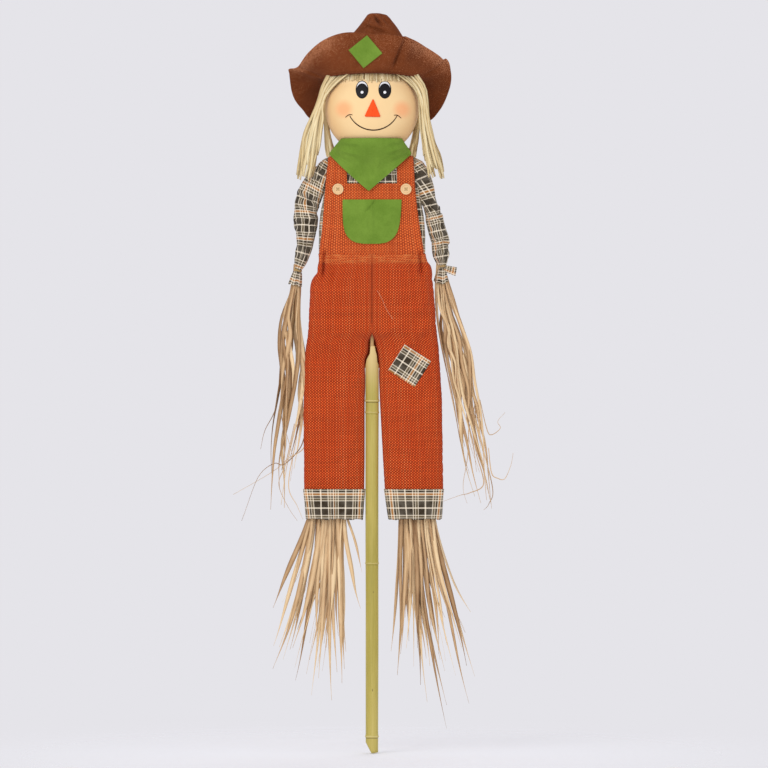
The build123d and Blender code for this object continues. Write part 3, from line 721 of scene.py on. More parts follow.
def bamboo_pole():
    """The culm: swollen nodes, a slanted foot and a quill cut at its top, open down to its socket."""
    columns, socket_floor = 56, low("spine_stick", "z") - 0.3
    angles = np.linspace(0, 2 * math.pi, columns, endpoint=False)
    x, y = np.sin(angles), -np.cos(angles)
    foot = POLE_END + np.clip((-x - 0.1) / 0.9, 0, 1) * 17.5 + np.clip(x, 0, 1) * 1.0
    quill = np.interp(x, (-1.0, -0.82, -0.26, -0.22, 0.44, 0.47, 0.72, 0.78, 1.0),
                      (-33.0, -22.0, -11.0, 0.0, 0.0, -6.0, -14.0, -26.0, -31.0))
    top = np.minimum(POLE_TOP + quill, POLE_TOP - smooth(y, -1.0, 1.0) * 36)
    beside_nodes = [(node_z + np.linspace(-6, 6, 17) - POLE_END) / (POLE_TOP - POLE_END)
                    for node_z, _ in CULM_NODES]
    steps = np.unique(np.concatenate([np.linspace(0, 1, 130), *beside_nodes]))
    rows, tint = [], []
    for t in steps:
        level = POLE_END + t * (POLE_TOP - POLE_END)
        z = level + (foot - POLE_END) * np.clip(1 - (level - POLE_END) / FOOT_CUT, 0, 1)
        z += (top - POLE_TOP) * np.clip(1 - (POLE_TOP - level) / QUILL_CUT, 0, 1)
        swell, mark = np.zeros(columns), np.zeros(columns)
        for node_z, size in CULM_NODES:
            swell += size * (1.0 * bump(z, node_z + 0.8, 1.1) + 0.3 * bump(z, node_z, 5.0)
                             - 0.5 * bump(z, node_z - 2.2, 0.8))
            mark += size * (1.1 * bump(z, node_z + 0.8, 1.3) - 1.1 * bump(z, node_z - 2.0, 0.8)
                            - 0.7 * bump(z, node_z + 3.4, 0.7))
        scar = bump(z, 244.0, 3.0) * bump(angles, 0.25, 0.25)
        scar += bump(z, 80.0, 2.2) * bump(angles, 0.1, 0.09) * 2.2
        wobble = 0.12 * np.sin(3 * angles + z / 60) + 0.1 * np.sin(2 * angles - z / 90)
        r = CULM_RADIUS(z)[:, 0] + swell + wobble - 0.4 * scar
        rows.append(np.stack([r * x, r * y, z], axis=1))
        tint.append(mark - 1.2 * np.clip(scar, 0, 1))
    for inset in (0.3, 2.4):
        rim = rows[-1].copy()
        r = np.linalg.norm(rim[:, :2], axis=1, keepdims=True)
        rim[:, :2] *= (r - inset) / r
        rim[:, 2] += 0.3 if inset < 1 else 0.0
        rows.append(rim)
        tint.append(np.full(columns, 0.9))
    inner = STICK_R + 0.35
    for share in (0.0, 0.35, 1.0):
        z = (rows[-1][:, 2] - 2) * (1 - share) + socket_floor * share
        rows.append(np.stack([inner * x, inner * y, z], axis=1))
        tint.append(np.full(columns, 0.4))
    points = np.array(rows)
    obj = grid("bamboo_culm", points, cloth_uv(points, closed=True), wrap=True, tint=tint)
    cap_ends(obj, columns, len(rows))
    return dress(obj, "bamboo", "bamboo", "pole", ["bamboo_pole"])


# ---- raffia -----------------------------------------------------------------
def strand(path, widths, thickness, fold, rolls):
    """One flat straw along a path: a shallow V in section, closed at both ends. Returns its points."""
    path = np.asarray(path, float)
    along = np.gradient(path, axis=0)
    along /= np.linalg.norm(along, axis=1, keepdims=True)
    forward = np.array([0.0, -1.0, 0.0])
    side = np.cross(along, forward)
    side /= np.maximum(np.linalg.norm(side, axis=1, keepdims=True), 1e-6)
    face = np.cross(side, along)
    cos, sin = np.cos(rolls)[:, None], np.sin(rolls)[:, None]
    side, face = side * cos + face * sin, face * cos - side * sin
    half = np.asarray(widths)[:, None] / 2
    top = [path - side * half, path + face * (fold * half), path + side * half]
    back = [p - face * thickness for p in reversed(top)]
    return np.stack(top + back, axis=1)


# painted shade: a straw is coloured darker along its two edges than down its middle
EDGE_SHADE = (-0.22, 0.1, -0.22, -0.22, 0.0, -0.22)


def bundle(name, straws):
    """Joins many straws into one mesh. Each straw is (points, tint)."""
    points, faces, corners, tints, start = [], [], [], [], 0
    for number, (rings, tint) in enumerate(straws):
        count, ring = rings.shape[:2]
        gaps = np.linalg.norm(np.diff(rings[:, 1], axis=0), axis=1)
        length = np.concatenate([[0], np.cumsum(gaps)]) * MM
        width = np.linalg.norm(rings[:, 0] - rings[:, 2], axis=1) * MM
        across = (0.0, 0.5, 1.0, 1.0, 0.5, 0.0)
        for r in range(count - 1):
            for c in range(ring):
                d = (c + 1) % ring
                faces.append((start + r * ring + c, start + r * ring + d,
                              start + (r + 1) * ring + d, start + (r + 1) * ring + c))
                for row, column in ((r, c), (r, d), (r + 1, d), (r + 1, c)):
                    corners.append((across[column] * width[row] + number * 0.013,
                                    length[row] + number * 0.31))
        for row, order in ((0, range(ring - 1, -1, -1)), (count - 1, range(ring))):
            faces.append(tuple(start + row * ring + c for c in order))
            corners += [(number * 0.013, length[row] + number * 0.31)] * ring
        points.append(rings.reshape(-1, 3))
        # painted shade along each straw's edges
        tints += [tint + d for d in EDGE_SHADE] * count
        start += count * ring
    return mesh_object(name, np.concatenate(points), faces, corners, tints)


def straw(dice, path, width, tip_share=0.5, tip=0.12, fold=0.35, twist=0.6, thickness=0.32, count=18,
          curl=1.0):
    """One straw through a few points, with a taper, a lazy twist and a little wander."""
    keys = np.linspace(0, 1, len(path))
    line = Rows([(k, *p) for k, p in zip(keys, path)])(np.linspace(0, 1, count))
    t = np.linspace(0, 1, count)
    wander = dice.uniform(0, 6.28), dice.uniform(2.0, 5.0), dice.uniform(0.3, 1.0) * curl
    line[:, 0] += wander[2] * np.sin(wander[0] + wander[1] * t * 2) * t * 2.2
    line[:, 1] += wander[2] * np.cos(wander[0] * 1.7 + wander[1] * t * 2) * t * 1.2
    taper = (1 - (1 - tip) * smooth(t, 1 - tip_share, 1.0)) * (0.75 + 0.25 * smooth(t, 0, 0.15))
    lean, turn, pace, start = (dice.uniform(a, b) for a, b in ((-0.5, 0.5), (-1, 1), (2, 5), (0, 6)))
    rolls = lean + twist * turn * np.sin(t * pace + start)
    return strand(line, width * taper, thickness, fold * dice.choice((-1, 1)), rolls), dice.random()


# wrist: rows of (drop below the wrist, centre shift outwards, half spread, half depth)
HAND = {
    "left": [(-12, -1, 3.5, 3.5), (6, 1, 5, 4), (30, 3, 10, 6), (107, 18, 21, 8), (202, 39, 22, 9),
             (265, 50, 20, 9), (330, 62, 17, 8), (400, 76, 12, 6)],
    "right": [(-12, 0, 3.5, 3.5), (6, 2, 5, 4), (25, 3, 6, 5), (76, 12, 14, 8), (139, 12, 20, 9),
              (233, 14, 24, 9), (300, 20, 22, 9), (344, 22, 18, 8), (413, 26, 15, 6)],
}
# number of straws, and their least and greatest width
HAND_STRAWS = {"left": (24, 4.2, 7.2), "right": (15, 5.5, 9.5)}
# single straws that leave the bundle, in the front view: (width, (outwards, up), ...)
STRAYS = {
    "left": [(1.4, (178, 560), (190, 510), (197, 502), (212, 513), (209, 524), (218, 539)),
             (1.6, (192, 480), (197, 439), (207, 430), (219.5, 429), (229, 450), (232, 472)),
             (1.6, (172, 470), (184, 421), (161, 406), (146, 402), (118, 392)),
             (1.8, (186, 470), (200, 410), (192, 388), (184, 378)),
             (1.4, (150, 620), (170, 560), (160, 500), (176, 440)),
             (1.2, (160, 540), (158, 470), (150, 420), (158, 388))],
    "right": [(1.6, (150, 640), (157, 552), (177, 508), (184.5, 478)),
              (1.8, (111, 500), (120, 478), (145, 453), (162, 454), (189.5, 430), (216, 360)),
              (1.6, (113, 520), (111, 482), (138, 462), (166, 440), (231, 403)),
              (1.5, (128, 520), (142, 455), (154, 420), (139, 382), (124, 360)),
              (1.5, (124, 500), (137, 420), (124, 385), (116, 362)),
              (1.3, (140, 600), (150, 540), (132, 470), (136, 425))],
}


def straw_hand(side):
    dice = random.Random(31 if side == "left" else 47)
    sign, (wrist_x, _, wrist_z) = SIDES[side], pivot(f"wrist_{side}")
    spread = Rows(HAND[side])
    straws = []
    number, narrow, broad = HAND_STRAWS[side]
    for index in range(number):
        across, deep = -1 + 2 * (index * 0.618 % 1), dice.uniform(-1, 1)
        reach = dice.choice((0.55, 0.68, 0.8, 0.9, 1.0)) * dice.uniform(0.92, 1.0) * HAND[side][-1][0]
        path = []
        for drop in np.linspace(-12, reach, 9):
            shift, wide, thick = spread(drop)
            path.append((wrist_x + sign * (shift + across * wide), deep * thick * 0.9, wrist_z - drop))
            across = max(-1.0, min(1.0, across + dice.uniform(-0.38, 0.38)))
            deep = max(-1.0, min(1.0, deep + dice.uniform(-0.3, 0.3)))
        straws.append(straw(dice, path, dice.uniform(narrow, broad), tip_share=0.4, tip=0.08, fold=0.4,
                            twist=1.5, curl=2.0, count=34))
    for width, *points in STRAYS[side]:
        path = [(sign * x, dice.uniform(-5, 5), z) for x, z in points]
        straws.append(straw(dice, path, width, tip_share=0.8, tip=0.25, count=30, curl=1.0))
    obj = bundle(f"raffia_hand_{side}", straws)
    dress(obj, "straw", "raffia", None, [f"straw_hand_{side}", f"stray_straw_{side}"])
    start, end = (wrist_x * MM, 0, (wrist_z + 6) * MM), (wrist_x * MM, 0, (wrist_z - 24) * MM)
    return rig.blend(obj, f"arm_{side}", f"hand_{side}", start, end)


# foot: (x at the cuff, x at the tip, height of the tip, width), all x measured outwards
FOOT = {
    "left": [(52, 40, 105, 7), (50, 48, 180, 5), (58, 62, 160, 6), (62, 78, 89, 8), (60, 55, 150, 6),
             (68, 88, 60, 7.5), (72, 125, 17, 5), (70, 74, 150, 6), (78, 95, 120, 7), (82, 120, 111, 5),
             (80, 98, 170, 5), (88, 125, 155, 6), (92, 160, 58, 5), (96, 155, 121, 7.5),
             (100, 150, 150, 6), (84, 108, 140, 6), (66, 70, 200, 5), (56, 44, 140, 5),
             (76, 84, 190, 6), (90, 130, 185, 5), (64, 60, 215, 6), (74, 112, 130, 3),
             (86, 138, 105, 3), (60, 66, 120, 3)],
    "right": [(100, 162, 116, 7), (94, 154, 151, 8), (98, 135, 205, 6), (90, 127, 96, 6),
              (84, 130, 150, 8), (80, 97, 72, 5), (76, 112, 180, 7), (72, 88, 100, 6), (70, 67, 63, 7),
              (66, 74, 150, 8), (62, 51, 92, 8), (58, 48, 115, 7), (54, 56, 170, 6), (68, 102, 130, 6),
              (86, 118, 190, 6), (60, 62, 205, 7), (50, 52, 185, 5), (92, 146, 130, 4),
              (78, 90, 160, 6), (46, 18, 215, 6), (44, 16, 275, 4), (88, 104, 210, 5), (64, 84, 112, 3),
              (82, 126, 118, 3)],
}


def straw_foot(side):
    dice = random.Random(5 if side == "left" else 12)
    sign = SIDES[side]
    straws = []
    for layer in range(2):
        for start_x, tip_x, tip_z, width in FOOT[side][:14 if layer else None]:
            jitter = dice.uniform(-7, 7) if layer else dice.uniform(-1, 1)
            x0, x1 = start_x + jitter, tip_x + 1.6 * jitter * (tip_x > 35)
            z1 = tip_z + layer * dice.uniform(25, 90)
            z0 = CUFF_END + 14
            y0 = LEG_Y + dice.uniform(-3, 3) + 5 * layer
            bow, way = dice.uniform(-7, 7), dice.uniform(-14, 10)
            path = []
            for t in np.linspace(0, 1, 7):
                x = max(x0 + (x1 - x0) * t ** 1.3 + bow * math.sin(t * math.pi), 15.5)
                path.append((sign * x, y0 + way * t + 3 * math.sin(t * 5 + bow), z0 + (z1 - z0) * t))
            straws.append(straw(dice, path, width * dice.uniform(1.0, 1.25), tip_share=0.5, tip=0.05,
                                fold=0.3, twist=0.9, count=26))
    for _ in range(7):
        start_x, tip_x, tip_z, _ = dice.choice(FOOT[side])
        path = [(sign * start_x, LEG_Y, CUFF_END + 10),
                (sign * (start_x + tip_x) / 2, LEG_Y + dice.uniform(-8, 8), (CUFF_END + tip_z) / 2),
                (sign * (tip_x + dice.uniform(-4, 14)), LEG_Y + dice.uniform(-10, 10),
                 tip_z + dice.uniform(0, 60))]
        straws.append(straw(dice, path, 0.9, tip_share=0.9, tip=0.3, count=20))
    obj = bundle(f"raffia_foot_{side}", straws)
    dress(obj, "straw", "raffia", None, [f"straw_foot_{side}"])
    start = (sign * 0.07, LEG_Y * MM, (CUFF_END + 4) * MM)
    end = (sign * 0.07, LEG_Y * MM, (CUFF_END - 26) * MM)
    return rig.blend(obj, f"leg_{side}", f"foot_{side}", start, end)


def head_front(x, z, lift=0.0):
    """y of the head's front at a place in the front view, in millimetres."""
    size = HEAD_R + lift
    x, z = np.asarray(x, float), np.asarray(z, float)
    inside = np.clip(1 - (x / size) ** 2 - ((z - HEAD_Z) / size) ** 2, 0, 1)
    return -size * HEAD_DEPTH * np.sqrt(inside)


# hair: inner and outer edge of a side lock at each height below the hat band
HAIR = {
    "left": [(6, 36, 75), (-6, 54, 82), (-16, 66, 87), (-26, 74, 90), (-40, 78, 91), (-65, 79, 94),
             (-100, 81, 101), (-138, 86, 114), (-170, 93, 121)],
    "right": [(6, 35, 72), (-6, 52, 78), (-20, 67, 83), (-34, 77, 87), (-48, 80.5, 90), (-65, 81, 99),
              (-100, 84, 113), (-138, 90, 119), (-172, 97, 125)],
}
HAIR_STRAWS = 30


def hair_lock(side):
    dice = random.Random(71 if side == "left" else 83)
    sign, edges = SIDES[side], Rows(HAIR[side])
    straws = []
    for number in range(HAIR_STRAWS):
        share = (number % 10 + dice.uniform(0, 1)) / 10
        layer = number // 10
        reach = dice.uniform(-172, -150) if number % 5 else dice.uniform(-150, -120)
        path = []
        for drop in np.linspace(6, reach, 8):
            inner, outer = edges(drop)
            x = inner + (outer - inner) * share + dice.uniform(-1.2, 1.2)
            z = BAND_Z + drop
            on_head = float(head_front(min(x, HEAD_R + 3), z, 4.0))
            y = min(on_head, -20.0) - 2.6 * (2 - layer) - dice.uniform(0, 1.2)
            path.append((sign * x, y, z))
        shape, tint = straw(dice, path, dice.uniform(3.4, 5.6), tip_share=0.1, tip=0.6, fold=0.75,
                            twist=0.45, thickness=0.4, curl=0.7)
        # painted shade: straws of the deeper layers are tinted darker than those in front
        straws.append((shape, 0.24 * (2 - layer) + 0.5 * tint))
    for number in range(8):
        share = number / 7
        path = [(sign * (62 + 10 * share), 12 - 6 * share, BAND_Z - 6),
                (sign * (72 + 6 * share), 4, BAND_Z - 50), (sign * (70 + 6 * share), -2, BAND_Z - 96),
                (sign * (58 + 14 * share), -12, BAND_Z - 140 + 8 * share)]
        width = dice.uniform(3.5, 6.0)
        straws.append(straw(dice, path, width, tip_share=0.12, tip=0.7, fold=0.4, twist=0.3))
    obj = bundle(f"raffia_hair_{side}", straws)
    return dress(obj, "hair", "raffia", "figure", [f"hair_{side}"])


def hair_fringe():
    """Short straws side by side under the hat's front edge."""
    dice = random.Random(3)
    left, right = low("hair_fringe", "x"), high("hair_fringe", "x")
    straws = []
    for x in np.arange(left, right, 1.9):
        lean = (x / right) * 3.0
        end = dice.uniform(-12.5, -7.0) + 2.5 * abs(x / right)
        path = [(x, float(head_front(x, BAND_Z + 9, 1.2)), BAND_Z + 9),
                (x + lean * 0.4, float(head_front(x, BAND_Z + 2, 2.2)), BAND_Z + 2),
                (x + lean, float(head_front(x, BAND_Z + end, 1.8)), BAND_Z + end)]
        straws.append(straw(dice, path, dice.uniform(1.8, 2.9), tip_share=0.1, tip=0.8, fold=0.5,
                            twist=0.1, count=7, curl=0.15))
    obj = bundle("raffia_fringe", straws)
    return dress(obj, "hair", "raffia", "figure", ["hair_fringe"])


# ---- head and face ----------------------------------------------------------
def head_ball():
    columns, rows = 96, 64
    points = []
    for i in range(rows):
        tilt = math.pi * (i + 0.5) / rows
        ring = [(math.sin(tilt) * math.sin(a), -math.sin(tilt) * math.cos(a) * HEAD_DEPTH,
                 math.cos(tilt))
                for a in np.linspace(0, 2 * math.pi, columns, endpoint=False)]
        points.append(ring)
    points = np.array(points)
    gather = smooth(points[..., 2], -0.8, -0.98)
    turn = np.arctan2(points[..., 0], -points[..., 1])
    swell = HEAD_R * (1 + 0.004 * rough(points * HEAD_R, 45, 3))
    swell -= 1.4 * gather * (1 + np.sin(15 * turn))
    points = points * swell[..., None]
    points[..., 2] += HEAD_Z
    obj = grid("face_cloth", points, cloth_uv(points, closed=True), wrap=True)
    cap_ends(obj, columns, rows)
    dress(obj, "face_cloth", "face_cloth", "figure", ["face_cover"])
    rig.padded(obj, 1.0)
    return obj


def printed(name, outline, lift, ink, rings=8):
    """A flat shape given in the front view, laid on the face as a thin film."""
    outline = np.asarray(outline, float)
    middle = outline.mean(axis=0)
    points = []
    for r in range(rings + 1):
        share = max(1 - r / rings, 0.02)
        ring = middle + (outline - middle) * share
        y = head_front(ring[:, 0], ring[:, 1], lift)
        points.append(np.stack([ring[:, 0], y, ring[:, 1]], axis=1))
    points = np.array(points)
    obj = grid(name, points, cloth_uv(points, closed=True), wrap=True)
    thicken(obj, 0.12, 0)
    return dress(obj, ink, "face_cloth", "figure")


def ellipse(x, z, wide, tall, count=40, start=0.0, end=2 * math.pi):
    angles = np.linspace(start, end, count, endpoint=abs(end - start) < 6.28)
    return np.stack([x + wide * np.sin(angles), z + tall * np.cos(angles)], axis=1)


def eye(side):
    """A printed eye: black oval, pale crescent over the pupil, and a small light."""
    x = FACE_X + (18.8 if side == "left" else -18.6)
    z = HEAD_Z + 28.2
    printed(f"eye_{side}", ellipse(x, z, 10.5, 15.0), 0.34, "black_ink")
    printed(f"eye_white_{side}", ellipse(x, z + 1.3, 9.0, 12.6), 0.50, "white_ink")
    printed(f"eye_pupil_{side}", ellipse(x, z - 2.1, 9.7, 12.4), 0.66, "black_ink")
    printed(f"eye_light_{side}", ellipse(x, z - 4.6, 2.4, 2.4, 20), 0.82, "white_ink", 3)


def line_on_face(name, path, width, ink):
    """A drawn line on the face: a thin rounded ribbon that follows the head."""
    path = np.asarray(path, float)
    along = np.gradient(path, axis=0)
    along /= np.linalg.norm(along, axis=1, keepdims=True)
    side = np.stack([-along[:, 1], along[:, 0]], axis=1)
    ends = np.sin(np.linspace(0.25, math.pi - 0.25, len(path)))[:, None] ** 0.4
    points = []
    for offset in (-0.5, -0.2, 0.2, 0.5):
        p = path + side * offset * width * ends
        lift = 0.45 if abs(offset) < 0.4 else 0.2
        points.append(np.stack([p[:, 0], head_front(p[:, 0], p[:, 1], lift), p[:, 1]], axis=1))
    points = np.transpose(np.array(points), (1, 0, 2))
    obj = grid(name, points, cloth_uv(points))
    thicken(obj, 0.2, 0)
    return dress(obj, ink, "face_cloth", "figure")


# the smile's half width, the rise from its middle to its ends, and its middle's drop below the head's
SMILE_HALF, SMILE_RISE, SMILE_DROP = 38.8, 23.6, 38.2
# its ticks, from their inner to their outer ends: (x, z, x, z)
SMILE_TICKS = {"left": (36.2, 1026.2, 48.0, 1021.6), "right": (-31.8, 1026.6, -43.6, 1022.8)}


def smile():
    """A circle arc from cheek to cheek with a small tick across each end."""
    radius = (SMILE_HALF ** 2 + SMILE_RISE ** 2) / (2 * SMILE_RISE)
    middle_z = HEAD_Z - SMILE_DROP + radius
    reach = math.asin(SMILE_HALF / radius)
    arc = [(FACE_X + radius * math.sin(a), middle_z - radius * math.cos(a))
           for a in np.linspace(-reach, reach, 60)]
    line_on_face("smile", arc, 1.9, "brown_ink")
    for side, (x0, z0, x1, z1) in SMILE_TICKS.items():
        t = np.linspace(0, 1, 14)
        tick = np.stack([x0 + (x1 - x0) * t, z0 + (z1 - z0) * t + 2.2 * np.sin(t * math.pi)], axis=1)
        line_on_face(f"smile_tick_{side}", tick, 1.3, "brown_ink")


def nose():
    """A felt triangle with softly rounded corners, glued to the face."""
    corners = [(low("nose", "x"), low("nose", "z") + 0.6), (high("nose", "x"), low("nose", "z")),
               (FACE_X - 0.4, high("nose", "z"))]
    outline = []
    for i in range(3):
        b, c = np.array(corners[i]), np.array(corners[(i + 1) % 3])
        outline += [b + (c - b) * t for t in (*np.linspace(0.06, 0.5, 10), *np.linspace(0.5, 0.94, 10))]
    obj = printed("felt_nose", outline, 1.0, "orange_felt", 6)
    obj.modifiers["thickness"].thickness = 1.3 * MM
    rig.slot(obj, "orange_felt")
    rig.replaces(obj, "nose")
    return obj


# ---- shaping tools for cloth ------------------------------------------------
def ring(half_width, half_depth, exponent, count):
    """A rounded box outline from its front middle round by +X, evenly spaced: (x, y) pairs."""
    angles = np.linspace(0, 2 * math.pi, 1441)
    sin, cos = np.sin(angles), np.cos(angles)
    x = half_width * np.sign(sin) * np.abs(sin) ** (2 / exponent)
    y = -half_depth * np.sign(cos) * np.abs(cos) ** (2 / exponent)
    along = np.concatenate([[0], np.cumsum(np.hypot(np.diff(x), np.diff(y)))])
    at = np.linspace(0, along[-1], count, endpoint=False)
    return np.stack([np.interp(at, along, x), np.interp(at, along, y)], axis=1)


def front_of(*objs):
    """A function giving the y of the foremost of these pieces at each place in the front view."""
    trees = []
    graph = bpy.context.evaluated_depsgraph_get()
    for obj in objs:
        work = bmesh.new()
        work.from_object(obj, graph)
        trees.append(BVHTree.FromBMesh(work))
        work.free()

    def find(x, z):
        x, z = np.broadcast_arrays(np.asarray(x, float), np.asarray(z, float))
        found = np.full(x.shape, np.nan)
        for place in np.ndindex(x.shape):
            origin = Vector((x[place] * MM, -1.0, z[place] * MM))
            hits = [tree.ray_cast(origin, Vector((0, 1, 0)))[0] for tree in trees]
            hits = [hit.y / MM for hit in hits if hit is not None]
            if hits:
                found[place] = min(hits)
        missing = np.isnan(found)
        if missing.any():
            found[missing] = np.nanmax(found)
        return found
    return find


def soften(points, times=1):
    """Evens out a grid's y values, so that a stiff piece bridges small hollows."""
    y = points[..., 1]
    for _ in range(times):
        padded = np.pad(y, 1, mode="edge")
        beside = padded[:-2, 1:-1] + padded[2:, 1:-1] + padded[1:-1, :-2] + padded[1:-1, 2:]
        y = (padded[1:-1, 1:-1] * 4 + beside) / 8
    points[..., 1] = y
    return points


def creases(x, z, table):
    """Sum of straight pleats: each is (x, z, x end, z end, half width, depth) in the front view."""
    total = np.zeros(np.shape(x))
    for x0, z0, x1, z1, width, depth in table:
        dx, dz = x1 - x0, z1 - z0
        length = math.hypot(dx, dz)
        along = ((x - x0) * dx + (z - z0) * dz) / length ** 2
        away = ((x - x0) * dz - (z - z0) * dx) / length
        fade = smooth(along, -0.12, 0.2) * (1 - smooth(along, 0.55, 1.1))
        total += depth * fade * np.exp(-(away / width) ** 2)
    return total


def tube(name, centre, half, depth, exponent, count, relief=None):
    """A closed cloth tube: per row its centre (x, y, z), half width, half depth and roundness."""
    rows = []
    for (cx, cy, cz), w, d, e in zip(centre, half, depth, exponent):
        flat = ring(w, d, e, count)
        rows.append(np.stack([cx + flat[:, 0], cy + flat[:, 1], np.full(count, cz)], axis=1))
    points = np.array(rows)
    if relief is not None:
        middle = np.array(centre, float)[:, None, :]
        out = points - middle
        out[..., 2] = 0
        out /= np.maximum(np.linalg.norm(out, axis=2, keepdims=True), 1e-6)
        points = points + out * relief(points)[..., None]
    return grid(name, points, cloth_uv(points, closed=True), wrap=True), points


def settle(obj, held, grow, pressure, frames, cap, bending=0.6):
    """Lets a filled cloth piece swell and buckle. held (0 to 1) says how firmly each point stays.

    grow is the share by which the cloth outgrows its pattern. cap is a point's furthest move in mm.
    """
    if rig.quick():
        return
    scene, before = bpy.context.scene, np.array([v.co for v in obj.data.vertices])
    group = obj.vertex_groups.new(name="held")
    for level in range(21):
        share = level / 20
        group.add([int(i) for i in np.flatnonzero(np.round(held * 20) == level)], share, "REPLACE")
    cloth = obj.modifiers.new("cloth", "CLOTH")
    settings = cloth.settings
    settings.quality, settings.mass, settings.air_damping = 6, 0.2, 4.0
    settings.tension_stiffness = settings.compression_stiffness = 20
    settings.shear_stiffness, settings.bending_stiffness = 6, bending
    settings.vertex_group_mass, settings.pin_stiffness = group.name, 0.6
    settings.shrink_min = settings.shrink_max = -grow
    settings.use_pressure, settings.uniform_pressure_force = True, pressure
    settings.effector_weights.gravity = 0
    cloth.collision_settings.use_collision = False
    cloth.point_cache.frame_start, cloth.point_cache.frame_end = 1, frames
    for number in range(1, frames + 1):
        scene.frame_set(number)
    found = obj.evaluated_get(bpy.context.evaluated_depsgraph_get()).data
    moved = np.array([v.co for v in found.vertices]) - before
    far = np.linalg.norm(moved, axis=1, keepdims=True)
    after = before + moved * np.minimum(1, cap * MM / np.maximum(far, 1e-9))
    obj.modifiers.remove(cloth)
    obj.vertex_groups.remove(group)
    obj.data.vertices.foreach_set("co", after.ravel())
    obj.data.update()
    scene.frame_set(1)


# ---- shirt and bib ----------------------------------------------------------
# height above the waist, half width, half depth of the filled shirt
TORSO = Rows([(-14, 87, 25.6), (0, 87, 25.6), (18, 87.4, 25.6), (40, 87.4, 25.5), (64, 85.6, 25.3),
              (83, 82.2, 25.2), (109, 78.5, 25.0), (130, 75, 24.2), (144, 73, 22.5), (154, 70, 19.0),
              (160, 66, 13.0), (163, 60, 5.0)])
TORSO_EXPONENT = 4.5
# heights above the waist of the bib's neck edge and of the fold over the shoulders
BIB_TOP, BIB_BEND = 117.0, 150
STRAP_INNER, STRAP_CELLS = 41.0, 14
BIB_EDGES = {"left": Rows([(-14, 85.4), (0, 85.2), (46, 78.5), (99, 71.8), (150, 68.5), (175, 67.0)]),
             "right": Rows([(-14, 86.0), (0, 86.2), (46, 81.3), (99, 77.6), (150, 73.0), (175, 70.0)])}


def torso_y(x, height, lift):
    """Distance of the torso's front from the middle plane."""
    width, depth = np.moveaxis(TORSO(height), -1, 0)
    return (depth + lift) * flat_oval(np.clip(np.asarray(x) / (width + lift), -0.995, 0.995),
                                      TORSO_EXPONENT)


# the waist's side pleats, pressed into shirt, bib and trousers alike
WAIST_PLEATS = ((78, WAIST + 9, 82, WAIST - 40, 2.4, 11.0), (88, WAIST + 2, 97, WAIST - 40, 3.4, -2.2),
                (68, WAIST + 6, 66, WAIST - 40, 4.4, 2.6), (73, WAIST + 6, 74, WAIST - 40, 3.0, -2.4),
                (-77, WAIST + 10, -81, WAIST - 42, 2.4, 12.0),
                (-86, WAIST + 4, -94, WAIST - 44, 3.4, -2.4),
                (-66, WAIST + 6, -62, WAIST - 60, 5.0, 3.0),
                (-71, WAIST + 6, -71, WAIST - 44, 3.0, -2.4))


def waist_pleats(x, z):
    return creases(x, z, WAIST_PLEATS)


def shirt():
    """The filled shirt body, closed at the waist and at the shoulders."""
    columns, heights = 120, np.concatenate([np.linspace(-14, 144, 60), np.linspace(146, 163, 10)])
    middles, sizes = [(0, 0, WAIST + h) for h in heights], TORSO(heights)

    def relief(points):
        folds = 0.9 * rough(points * (1, 1, 0.6), 34, 2) + 0.5 * rough(points, 14, 5)
        return folds * (1 - smooth(points[..., 2] - WAIST, 135, 158))
    body, points = tube("shirt_body_cloth", middles, sizes[:, 0], sizes[:, 1],
                        [TORSO_EXPONENT] * len(heights), columns, relief)
    for vertex, dent in zip(body.data.vertices, waist_pleats(points[..., 0], points[..., 2]).ravel()):
        vertex.co.y -= math.copysign(dent * MM, vertex.co.y)
    cap_ends(body, columns, len(heights))
    shift_check(body, -4.9, 6.2)
    dress(body, "plaid", "plaid", "figure", ["shirt_body", "torso_stuffing"])
    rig.padded(body, 0.75)


